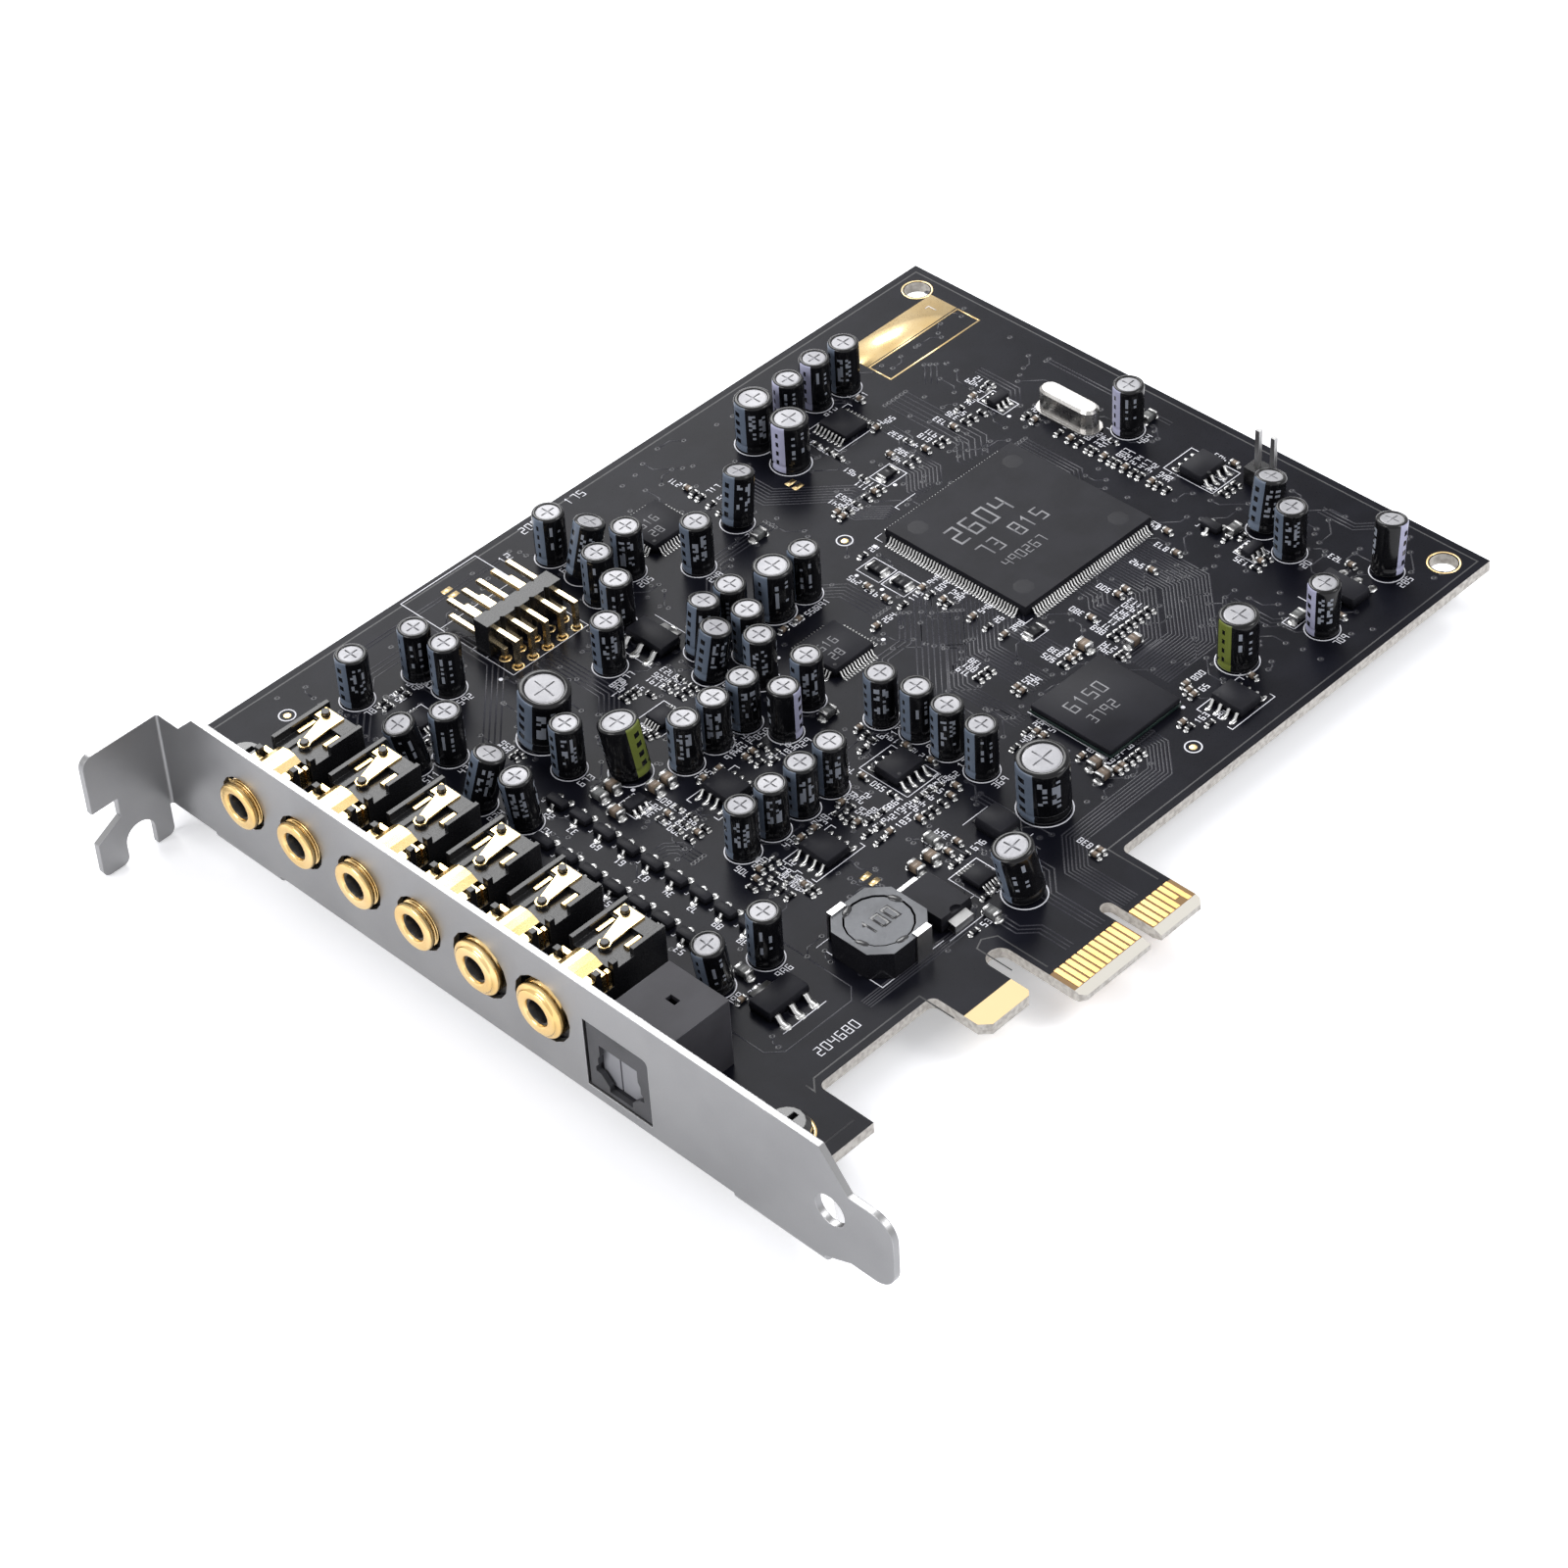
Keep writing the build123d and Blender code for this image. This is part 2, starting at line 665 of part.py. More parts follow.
def jack_saddle():
    """The earth spring: a curved sheet over the barrel, with arms that reach down by the posts."""
    inner = bushing_barrel_radius + saddle_gap
    outer = inner + saddle_sheet
    turns = [math.radians(saddle_half_angle * (2 * k / saddle_steps - 1)) for k in range(saddle_steps + 1)]
    over = [(outer * math.sin(turn), outer * math.cos(turn)) for turn in turns]
    under = [(inner * math.sin(turn), inner * math.cos(turn)) for turn in reversed(turns)]
    start = jack_front + saddle_inset
    saddle = along_x(Pos(0, jack_axis_z) * outline(*over, *under), start, start + saddle_length)
    edge_y, edge_z = under[0][0], jack_axis_z + under[0][1]
    post_low = jack_front + jack_post_x
    outside = jack_half_width - saddle_inset / 2
    for side in (-1, 1):
        for x in (post_low - rivet_clearance - saddle_arm, post_low + jack_post + rivet_clearance):
            inside, sheet_inside = side * edge_y, side * (outside - spring_sheet)
            saddle += block(x, x + saddle_arm, min(inside, side * outside), max(inside, side * outside),
                            edge_z, edge_z + spring_sheet)
            saddle += block(x, x + saddle_arm, min(sheet_inside, side * outside),
                            max(sheet_inside, side * outside), jack_axis_z, edge_z)
    return saddle


def jack_contacts():
    """The tip and ring contacts that lie in the tray, and the switch contact beside the tower."""
    low, high = tip_contact
    back = jack_ledge - contact_room
    tip = block(back - tip_contact_length, back, low, high, jack_tray_z, jack_tray_z + contact_height)
    low, high = ring_contact
    ring = block(back - ring_contact_length, back, low, high, jack_tray_z, jack_tray_z + contact_height)
    ring = chamfer(ring.edges().filter_by(Axis.X).group_by(Axis.Z)[-1], contact_height / 2)
    low, high = switch_contact
    front = jack_tower - contact_room
    switch = block(front - switch_contact_sheet, front, low, high, jack_axis_z, jack_tray_z)
    return [tip, ring, switch]


def optical_shell():
    """The socket's moulded box: open at the front, with pivot holes for the shutter."""
    half = optical_width / 2
    box = block(optical_front, optical_back, optical_y - half, optical_y + half, 0, optical_height)
    inner = half - optical_wall
    box -= block(optical_front - 1, optical_back - optical_wall, optical_y - inner,
                 optical_y + inner, optical_wall, optical_height - optical_roof)
    pivot = Pos(shutter_pivot_x, optical_y, shutter_pivot_z) * Rot(90, 0, 0)
    hole = shutter_pin_radius + shutter_pin_clearance
    box -= pivot * Cylinder(hole, 2 * (inner + shutter_pin_length + 0.1))
    long, wide = optical_vent_size
    return box - block(optical_vent_x - long / 2, optical_vent_x + long / 2, optical_y - wide / 2,
                       optical_y + wide / 2, optical_height - 2, optical_height + 1)


def opening_outline():
    """The plug opening: straight sides with a notch each, cut lower corners and a sunk step."""
    half = opening_width / 2
    right = [(half, opening_high)] + [(half + out, z) for out, z in opening_notches]
    right += [(half - opening_corner, opening_low), (half - opening_corner, opening_low - opening_step)]
    left = [(-y, z) for y, z in reversed(right)]
    return outline(*right, *left)


def optical_bezel():
    """The front frame that fills the bracket's window and keeps the shutter in."""
    half = window_width / 2 - frame_side_gap
    low, high = window_low + frame_low_gap, window_high - frame_top_gap
    plate = outline((-half, low), (half, low), (half, high), (-half, high))
    plate = rounded_at(plate, window_corner_radius, (-half, high))
    plate -= opening_outline()
    depth = optical_front - frame_set_back
    return extrude(Plane.YZ.offset(frame_set_back) * Pos(optical_y, 0) * plate, depth)


def optical_flap():
    """The shutter: a grooved flap hung from a pin at its upper edge."""
    inner = optical_width / 2 - optical_wall
    half = inner - shutter_gap
    front = shutter_pivot_x - shutter_thickness / 2
    flap = block(front, front + shutter_thickness, optical_y - half, optical_y + half,
                 shutter_low, shutter_pivot_z)
    pivot = Pos(shutter_pivot_x, optical_y, shutter_pivot_z) * Rot(90, 0, 0)
    knuckle = pivot * Pos(0, 0, -half) * extrude(many_sided(shutter_knuckle_radius, thread_sides), 2 * half)
    flap += knuckle
    flap += pivot * Cylinder(shutter_pin_radius, 2 * (inner + shutter_pin_length))
    groove = block(front - 1, front + 0.2, optical_y + 0.6, optical_y + 0.85, 0, optical_height)
    return flap - groove


def optical_sender():
    """The light sender that fills the back of the box, with its window towards the plug."""
    inner = optical_width / 2 - optical_wall
    back = optical_back - optical_wall
    body = block(back - emitter_length, back, optical_y - inner, optical_y + inner,
                 optical_wall, optical_height - optical_roof)
    lens = Plane.YZ.offset(back - emitter_length - 1) * Pos(optical_y, emitter_window_z)
    return body - extrude(lens * many_sided(emitter_window_radius, thread_sides), 2)


def header_base(columns, pitch, width, height):
    """A row of moulded header cells with a V notch between neighbours, about its middle."""
    half = columns * pitch / 2
    side = [(-half, -width / 2)]
    for k in range(1, columns):
        x = pitch * k - half
        side += [(x - header_notch, -width / 2), (x, header_notch - width / 2),
                 (x + header_notch, -width / 2)]
    side.append((half, -width / 2))
    other = [(-x, -y) for x, y in side]
    return prism(side + other, 0, height)


def front_header():
    """The base of the two-row header and its nine bent pins."""
    width = header_base_high - header_base_low
    middle_x = header_first_x + header_pitch * (header_columns - 1) / 2
    middle_y = (header_base_low + header_base_high) / 2
    base = header_base(header_columns, header_pitch, width, header_base_height)
    base = Pos(middle_x, middle_y, 0) * base
    pins = []
    rows = ((header_upper_z, header_upper_leg_y), (header_lower_z, header_lower_leg_y))
    half = pin / 2
    for row, (z, leg_y) in enumerate(rows):
        for column in range(header_columns):
            if row == 1 and column == header_missing_column:
                continue
            x = header_first_x + header_pitch * column
            bar = Plane.YZ * outline(
                (leg_y - half, 0), (leg_y + half, 0), (leg_y + half, z - half),
                (header_tip_y - half, z - half), (header_tip_y, z - half / 2),
                (header_tip_y, z + half / 2), (header_tip_y - half, z + half), (leg_y - half, z + half))
            wire = Pos(x - half, 0, 0) * extrude(bar, pin)
            pins.append(wire)
            base -= block(x - half, x + half, header_base_low - 1, header_base_high + 1,
                          z - half, z + half)
    return base, pins


def jumper_header():
    """The two-pin header that stands upright."""
    half = pin / 2
    middle = jumper_low_y + jumper_pitch / 2
    base = header_base(2, jumper_pitch, jumper_base, jumper_base)
    base = Pos(jumper_x, middle, 0) * Rot(0, 0, 90) * base
    pins = []
    for y in (jumper_low_y, jumper_low_y + jumper_pitch):
        post = block(jumper_x - half, jumper_x + half, y - half, y + half, 0, jumper_pin_top)
        pins.append(chamfer(post.edges().group_by(Axis.Z)[-1], half / 2))
        base -= block(jumper_x - half, jumper_x + half, y - half, y + half, -1, jumper_base + 1)
    return base, pins


def tapered_chip(length, width, top):
    """A moulded chip body whose sides slope both ways from the level of its leads."""
    middle = (top + chip_stand_off) / 2
    rectangle = Rectangle(length, width)
    upper = extrude(rectangle, top - middle, taper=8)
    lower = extrude(rectangle, -(middle - chip_stand_off), taper=8)
    return Pos(0, 0, middle) * (upper + lower)


def lead_row(count, pitch, wide, start, end, middle):
    """A row of leads on the +Y side of a chip: each slopes from the body down to its foot."""
    half = lead_thickness / 2
    foot = min(lead_foot, (end - start) * 0.6)
    corners = [(start, middle + half), (end, 0), (end - foot, 0), (start, middle - half)]
    if wide < thin_lead:
        corners.pop()
    lead = Pos(-wide / 2, 0, 0) * extrude(Plane.YZ * outline(*corners), wide)
    return [Pos(pitch * (k - (count - 1) / 2), 0, 0) * lead for k in range(count)]


def square_chip(side, top, per_side, pitch, reach):
    """A chip with leads on all four sides, as its body and the list of its leads."""
    body = tapered_chip(side, side, top)
    row = lead_row(per_side, pitch, pitch * 0.45, side / 2, side / 2 + reach,
                   (top + chip_stand_off) / 2)
    leads = [Rot(0, 0, 90 * turn) * lead for turn in range(4) for lead in row]
    return body, leads


def two_row_chip(kind):
    """A chip with leads along two sides, its rows along X."""
    length, width, per_side, pitch, reach, top = small_chip_kinds[kind]
    body = tapered_chip(length, width, top)
    row = lead_row(per_side, pitch, min(0.42, pitch * 0.45), width / 2, width / 2 + reach,
                   (top + chip_stand_off) / 2)
    return body, [Rot(0, 0, turn) * lead for turn in (0, 180) for lead in row]


def bridge_balls():
    """The outer ring of solder balls under the ball-grid chip, where the eye can see them."""
    per_side = int(bridge_side / ball_pitch) - 1
    reach = ball_pitch * (per_side - 1) / 2
    steps = [ball_pitch * k - reach for k in range(per_side)]
    places = [(s, e) for s in steps for e in (-reach, reach)]
    places += [(e, s) for s in steps[1:-1] for e in (-reach, reach)]
    ball = extrude(many_sided(ball_radius, 4), ball_height)
    return [Pos(bridge_x + x, bridge_y + y, 0) * ball for x, y in places]


def regulator():
    """A regulator: body about the origin, tab on +X, three leads on -X."""
    body = Rot(0, 0, 90) * tapered_chip(regulator_length, regulator_width, regulator_height)
    middle = (regulator_height + chip_stand_off) / 2
    half = regulator_width / 2
    leads = lead_row(3, regulator_lead_pitch, 0.75, half, half + 1.7, middle)
    metal = [Rot(0, 0, 90) * lead for lead in leads]
    metal += [Rot(0, 0, -90) * lead for lead in lead_row(1, 1, 3.0, half, half + 1.7, middle)]
    return body, metal


def transistor():
    """A three-leg transistor: long along Y, one lead on +X, two on -X."""
    body = Rot(0, 0, 90) * tapered_chip(transistor_length, transistor_width, transistor_height)
    half = transistor_width / 2
    middle = (transistor_height + chip_stand_off) / 2
    metal = [Rot(0, 0, 90) * lead for lead in lead_row(2, 1.9, 0.42, half, half + 0.55, middle)]
    metal += [Rot(0, 0, -90) * lead for lead in lead_row(1, 1, 0.42, half, half + 0.55, middle)]
    return body, metal


def transistor_places():
    """Both rows behind the jacks and the two that stand alone."""
    outer = [(outer_row_x, outer_row_first_y + transistor_pitch * k) for k in range(outer_row_count)]
    inner = [(inner_row_x, inner_row_first_y + transistor_pitch * k) for k in range(inner_row_count)]
    return outer + inner + lone_transistors


def power_diode():
    """The large diode and the strips bent down at its two ends."""
    body = Rot(0, 0, 90) * tapered_chip(diode_length, diode_width, diode_height)
    half = diode_length / 2
    body -= Pos(0, -half, diode_height) * Cylinder(diode_notch_radius, 0.8)
    ends = []
    for turn in (0, 180):
        middle = (diode_height + chip_stand_off) / 2
        strip = outline((half, middle + diode_sheet), (half + diode_end_reach, middle),
                        (half + diode_end_reach, 0), (half - 0.6, 0), (half - 0.6, 0.06),
                        (half + diode_end_reach - diode_sheet, 0.06),
                        (half + diode_end_reach - diode_sheet, middle - diode_sheet), (half, middle))
        end = Pos(-diode_end_width / 2, 0, 0) * extrude(Plane.YZ * strip, diode_end_width)
        ends.append(Rot(0, 0, turn) * end)
    place = Pos(diode_x, diode_y, 0)
    return place * body, [place * end for end in ends]


def shielded_coil():
    """A ferrite shell with cut corners, the drum inside its round well, and its two clips."""
    half = coil_side / 2
    cut = half - coil_chamfer
    corners = [(cut, -half), (half, -cut), (half, cut), (cut, half), (-cut, half), (-half, cut),
               (-half, -cut), (-cut, -half)]
    shell = prism(corners, chip_stand_off, coil_height)
    shell -= post(coil_core_radius + coil_gap, coil_sides, 0, 0, -1, coil_height + 1)
    core = post(coil_core_radius, coil_sides, 0, 0, 0, coil_height - chip_stand_off)
    clips = []
    sheet_out = half + coil_clip_sheet
    for turn in (0, 180):
        clip = block(0.8, 0.8 + coil_clip_width, -sheet_out, -half, 0, coil_height + coil_clip_sheet)
        clip += block(0.8, 0.8 + coil_clip_width, -half, 0.6 - half, coil_height,
                      coil_height + coil_clip_sheet)
        clips.append(Rot(0, 0, turn) * clip)
    place = Pos(coil_x, coil_y, 0)
    return place * shell, place * core, [place * clip for clip in clips]


def long_round(length, width):
    """A flat shape with straight sides and many-sided round ends."""
    radius, reach = width / 2, (length - width) / 2
    turns = [math.radians(180 * k / crystal_end_steps - 90) for k in range(crystal_end_steps + 1)]
    right = [(reach + radius * math.cos(turn), radius * math.sin(turn)) for turn in turns]
    return outline(*right, *[(-x, -y) for x, y in right])


def crystal():
    """A quartz crystal: a drawn metal can with round ends on its rolled flange."""
    part = extrude(long_round(crystal_length, crystal_width), crystal_flange)
    drawn = long_round(crystal_length - 2 * crystal_rim, crystal_width - 2 * crystal_rim)
    part += Pos(0, 0, crystal_flange) * extrude(drawn, crystal_height - crystal_flange)
    part = chamfer(part.edges().group_by(Axis.Z)[-1], crystal_flange)
    return Pos(crystal_x, crystal_y, 0) * Rot(0, 0, 90) * part


def can(size, x, y, lean_x, lean_y):
    """A can capacitor, standing or leaning on the rim of its base."""
    diameter, height = size
    part = post(diameter / 2, can_sides, 0, 0, 0, height)
    lean = math.hypot(lean_x, lean_y)
    if lean:
        angle = math.asin(lean / height)
        part = part.rotate(Axis((0, 0, 0), (-lean_y, lean_x, 0)), math.degrees(angle))
        part = Pos(0, 0, diameter / 2 * math.sin(angle)) * part
    return Pos(x, y, 0) * part


def cans(size, places):
    """The capacitors of one size."""
    return [can(size, *place) for place in places]


def chip_parts(size, places):
    """Small block-shaped parts soldered flat on the board."""
    length, width, height = size
    return [Pos(x, y, height / 2) * Rot(0, 0, turn) * Box(length, width, height)
            for x, y, turn in places]


def place_all(kind_places):
    """Bodies and metal of several parts, each given as ((body, metal), x, y, turn)."""
    bodies, metals = [], []
    for (body, metal), x, y, turn in kind_places:
        spot = Pos(x, y, 0) * Rot(0, 0, turn)
        bodies.append(spot * body)
        metals += [spot * piece for piece in metal]
    return bodies, metals


def save_jacks():
    """The six sockets, each as a housing, a bushing and a set of springs."""
    housing = jack_housing()
    saddle, leaf, contacts = jack_saddle(), jack_leaf(), jack_contacts()
    for number, y in enumerate(jack_ys, start=1):
        bushing = grooved_bushing() if number <= grooved_jack_count else plain_bushing()
        save("jack_body_%d" % number, Pos(0, y, 0) * housing)
        save("jack_bushing_%d" % number, Pos(0, y, jack_axis_z) * bushing)
        springs = [Pos(0, y, 0) * piece for piece in [saddle, leaf] + contacts]
        save("jack_springs_%d" % number, *springs)


def save_chips():
    """All chips, transistors and regulators."""
    main = square_chip(main_chip_side, main_chip_top, main_chip_leads_per_side,
                       main_chip_lead_pitch, 1.0)
    bodies, leads = place_all([(main, main_chip_x, main_chip_y, 0)])
    save("main_chip", *bodies)
    save("main_chip_leads", *leads)
    codec = square_chip(codec_side, codec_height, 12, codec_pitch, codec_lead_reach)
    bodies, leads = place_all([(codec, x, y, 0) for x, y in codec_places])
    save("codec_chips", *bodies)
    save("codec_chip_leads", *leads)
    bodies, leads = place_all([(two_row_chip(kind), x, y, turn)
                               for kind, x, y, turn in small_chip_places])
    save("small_chips", *bodies)
    save("small_chip_leads", *leads)
    part = regulator()
    bodies, metal = place_all([(part, x, y, turn) for x, y, turn in regulator_places])
    save("regulators", *bodies)
    save("regulator_tabs", *metal)
    part = transistor()
    bodies, metal = place_all([(part, x, y, 0) for x, y in transistor_places()])
    save("transistors", *bodies)
    save("transistor_leads", *metal)
    middle = Pos(bridge_x, bridge_y, ball_height)
    save("bridge_chip_balls", *bridge_balls())
    carrier = middle * Box(bridge_side, bridge_side, bridge_carrier_height,
                           align=(Align.CENTER, Align.CENTER, Align.MIN))
    cover = extrude(Rectangle(bridge_cover_side, bridge_cover_side), bridge_cover_height, taper=12)
    save("bridge_chip_carrier", carrier)
    save("bridge_chip_cover", Pos(0, 0, bridge_carrier_height) * middle * cover)


def save_all():
    """Write every node of the card."""
    os.makedirs("parts", exist_ok=True)
    save("circuit_board", circuit_board())
    save("edge_contacts", *edge_contacts())
    save("bracket", bracket())
    save("bracket_screws", bracket_screw(upper_screw_y), bracket_screw(lower_screw_y))
    save_jacks()
    save("optical_housing", optical_shell())
    save("optical_frame", optical_bezel())
    save("optical_shutter", optical_flap())
    save("optical_emitter", optical_sender())
    base, pins = front_header()
    save("front_header_base", base)
    save("front_header_pins", *pins)
    base, pins = jumper_header()
    save("jumper_header_base", base)
    save("jumper_header_pins", *pins)
    save_chips()
    body, ends = power_diode()
    save("power_diode", body)
    save("diode_ends", *ends)
    shell, core, clips = shielded_coil()
    save("inductor_shell", shell)
    save("inductor_core", core)
    save("inductor_clips", *clips)
    save("crystal_can", crystal())
    save("signal_capacitors", *cans(small_can, signal_can_places))
    save("supply_capacitors", *cans(small_can, supply_can_places))
    save("medium_capacitors", *cans(medium_can, medium_can_places))
    save("large_capacitors", *cans(large_can, large_can_places))
    save("ceramic_capacitors", *chip_parts(ceramic_size, ceramic_places))
    save("resistor_networks", *chip_parts(network_size, network_places))
    save("chip_inductors", *chip_parts(chip_inductor_size, chip_inductor_places))


save_all()
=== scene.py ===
# %% [markdown]
# # A sound card, dressed in Blender
# The card's solids come from the CAD frame: board, bracket, sockets, chips and cans. This lesson
# gives them their finishes and adds what is too fine for them: copper tracks, solder, white print and
# tiny chip parts. Finer pieces stand in for the cans, the sockets' bushings and most of the chips.

import math

import bpy
import numpy as np
from mathutils import Matrix, Vector


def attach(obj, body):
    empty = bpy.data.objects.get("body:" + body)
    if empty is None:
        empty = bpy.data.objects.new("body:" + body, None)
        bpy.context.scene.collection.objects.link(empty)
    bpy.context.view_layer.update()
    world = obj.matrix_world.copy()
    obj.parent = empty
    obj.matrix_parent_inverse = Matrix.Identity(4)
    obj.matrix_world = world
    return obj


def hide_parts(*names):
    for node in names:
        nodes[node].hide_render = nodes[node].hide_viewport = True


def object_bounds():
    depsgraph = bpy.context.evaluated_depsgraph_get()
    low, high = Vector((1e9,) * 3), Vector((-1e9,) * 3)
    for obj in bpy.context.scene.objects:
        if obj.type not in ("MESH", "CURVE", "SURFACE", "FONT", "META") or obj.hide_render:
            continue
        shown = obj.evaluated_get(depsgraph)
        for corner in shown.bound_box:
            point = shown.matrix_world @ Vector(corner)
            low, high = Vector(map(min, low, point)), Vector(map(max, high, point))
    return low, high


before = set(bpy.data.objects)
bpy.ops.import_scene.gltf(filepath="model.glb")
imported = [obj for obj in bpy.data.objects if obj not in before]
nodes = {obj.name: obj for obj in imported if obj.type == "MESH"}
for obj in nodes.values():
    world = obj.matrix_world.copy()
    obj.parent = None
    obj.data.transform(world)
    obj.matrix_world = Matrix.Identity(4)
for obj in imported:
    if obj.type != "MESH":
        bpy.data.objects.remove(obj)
cad_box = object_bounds()
mm = 0.001
rng = np.random.default_rng(7)
print("nodes:", len(nodes))

# %% [markdown]
# ## Camera
# The card is seen from above its bracket with a long lens, turned 43 degrees and looking down 42.
# A camera can be aimed by hand or with a constraint. Here its three axes are worked out from the
# two angles and a small roll, so the aim is exact and easy to read.

# %% Camera
heading = math.radians(43.40)     # from +Y towards +X
descent = math.radians(42.00)
roll = math.radians(-3.57)
camera_place = np.array([-209.11, -228.97, 339.71]) * mm
camera_lens = 97.54

forward = np.array([math.sin(heading) * math.cos(descent), math.cos(heading) * math.cos(descent),
                    -math.sin(descent)])
level_right = np.array([math.cos(heading), -math.sin(heading), 0.0])
level_up = np.cross(level_right, forward)
right = math.cos(roll) * level_right + math.sin(roll) * level_up
up = np.cross(right, forward)
camera_data = bpy.data.cameras.new("photo_camera")
camera_data.lens = camera_lens
camera_data.sensor_width = 36.0
camera_data.clip_start = 0.01
camera_data.clip_end = 20.0
camera = bpy.data.objects.new("photo_camera", camera_data)
turned = np.eye(4)
turned[:3, 0], turned[:3, 1], turned[:3, 2], turned[:3, 3] = right, up, -forward, camera_place
camera.matrix_world = Matrix(turned.tolist())
bpy.context.scene.collection.objects.link(camera)
bpy.context.scene.camera = camera
print("camera looks along", forward.round(3))

# %% [markdown]
# ## Node trees
# Materials and the world are trees of nodes. They could be wired in the editor; here four small
# helpers add a node, join sockets, do one sum and tell the rays that see a surface from those that
# light it.

# %% Node helpers
def add_node(tree, kind, inputs=None, **settings):
    """A node of that kind with its settings made and its input sockets set."""
    made = tree.nodes.new(kind)
    for key, value in settings.items():
        setattr(made, key, value)
    for socket, value in (inputs or {}).items():
        made.inputs[socket].default_value = value
    return made


def join(tree, *pairs):
    """Links each pair of an output and an input."""
    for start, end in pairs:
        tree.links.new(start, end)


def combine(tree, kind, *values):
    """One Math node on those values, each an output or a plain number."""
    made = add_node(tree, "ShaderNodeMath", operation=kind)
    for socket, value in zip(made.inputs, values):
        if isinstance(value, float):
            socket.default_value = value
        else:
            join(tree, (value, socket))
    return made.outputs[0]


def seen_directly(tree):
    """1 for camera, mirror and glass rays, 0 for the rays that light a surface."""
    path = add_node(tree, "ShaderNodeLightPath").outputs
    seen = combine(tree, "MAXIMUM", path["Is Camera Ray"], path["Is Glossy Ray"])
    return combine(tree, "MAXIMUM", seen, path["Is Transmission Ray"])


print("node helpers are ready")

# %% [markdown]
# ## Studio
# The card lies on white in a bright room of soft lamps. The white is the floor's and the world's own,
# seen by camera and mirror rays alone, so it puts no extra light on the black board. Three square
# lamps above give the cans their long highlights.

# %% Studio
scene = bpy.context.scene
scene.view_settings.view_transform = "Standard"
world = bpy.data.worlds.new("studio_room")
scene.world = world
world.use_nodes = True
sky = world.node_tree
sky.nodes.clear()
plain_light = add_node(sky, "ShaderNodeBackground", {"Color": (0.90, 0.92, 1.0, 1), "Strength": 0.55})
white_room = add_node(sky, "ShaderNodeBackground", {"Color": (1, 1, 1, 1), "Strength": 1.0})
choose = add_node(sky, "ShaderNodeMixShader")
sky_out = add_node(sky, "ShaderNodeOutputWorld")
join(sky, (seen_directly(sky), choose.inputs[0]), (plain_light.outputs[0], choose.inputs[1]),
     (white_room.outputs[0], choose.inputs[2]), (choose.outputs[0], sky_out.inputs[0]))
card_middle = np.array([0.07, 0.05, 0.0])


def lamp(name, place, size, power):
    """A square area lamp at place, facing the middle of the card."""
    data = bpy.data.lights.new(name, "AREA")
    data.shape = "SQUARE"
    data.size = size
    data.energy = power
    held = bpy.data.objects.new(name, data)
    held.location = place
    held.rotation_mode = "QUATERNION"
    held.rotation_quaternion = Vector(card_middle - place).to_track_quat("-Z", "Y")
    scene.collection.objects.link(held)


lamp("lamp_behind", (0.45, 0.75, 0.75), 0.6, 9.0)
lamp("lamp_left", (-0.75, 0.25, 0.65), 0.5, 5.0)
lamp("lamp_right", (0.55, -0.55, 0.75), 0.4, 4.0)

# %% [markdown]
# ## Meshes from arrays
# A mesh can be built face by face, but here each new piece is worked out as whole arrays and put in
# at once. A shape is a tuple: its points in millimetres, then one array of faces per corner count.

# %% Mesh helpers
def build_mesh(name, points, *face_lists):
    """A mesh from an (n, 3) array of points in metres and arrays of faces, one per corner count."""
    mesh = bpy.data.meshes.new(name)
    totals = np.concatenate([np.full(len(f), f.shape[1], np.int32) for f in face_lists])
    corners = np.concatenate([f.ravel() for f in face_lists]).astype(np.int32)
    starts = np.concatenate([[0], np.cumsum(totals)[:-1]]).astype(np.int32)
    mesh.vertices.add(len(points))
    mesh.vertices.foreach_set("co", np.asarray(points, np.float32).ravel())
    mesh.loops.add(len(corners))
    mesh.loops.foreach_set("vertex_index", corners)
    mesh.polygons.add(len(totals))
    mesh.polygons.foreach_set("loop_start", starts)
    mesh.update(calc_edges=True)
    mesh.validate()
    return mesh


def add_piece(name, mesh, material, body=None, smooth=False):
    """Puts a mesh into the scene as one named piece that rides on a body of the frame."""
    made = bpy.data.objects.new(name, mesh)
    scene.collection.objects.link(made)
    mesh.materials.append(material)
    if smooth:
        mesh.polygons.foreach_set("use_smooth", np.ones(len(mesh.polygons), bool))
    if body:
        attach(made, body)
    return made


def card_piece(name, shape, material, smooth=False):
    """A shape as one named piece on the card's body."""
    points, *face_lists = shape
    return add_piece(name, build_mesh(name, points * mm, *face_lists), material, "card", smooth)


def paint_faces(piece, paints, index):
    """Gives a piece more materials, and each of its faces a number among them all."""
    for paint in paints:
        piece.data.materials.append(paint)
    piece.data.polygons.foreach_set("material_index", index.astype(np.int32))


def grid_faces(rows, columns, wrap=False):
    """Quads of a rows by columns grid of points, closed round along the columns if wrap is set."""
    across = columns if wrap else columns - 1
    r, c = np.meshgrid(np.arange(rows - 1), np.arange(across), indexing="ij")
    nxt = (c + 1) % columns
    quads = [r * columns + c, r * columns + nxt, (r + 1) * columns + nxt, (r + 1) * columns + c]
    return np.stack(quads, -1).reshape(-1, 4)


def turned_profile(profile, steps, closed=False):
    """A profile of (radius, height) turned round Z. A closed one joins its last row to its first."""
    profile = np.asarray(profile, float)
    turn = np.linspace(0, 2 * np.pi, steps, endpoint=False)
    radius, height = profile[:, :1], np.broadcast_to(profile[:, 1:], (len(profile), steps))
    points = np.stack([radius * np.cos(turn), radius * np.sin(turn), height], -1).reshape(-1, 3)
    return points, grid_faces(len(profile) + closed, steps, wrap=True) % len(points)


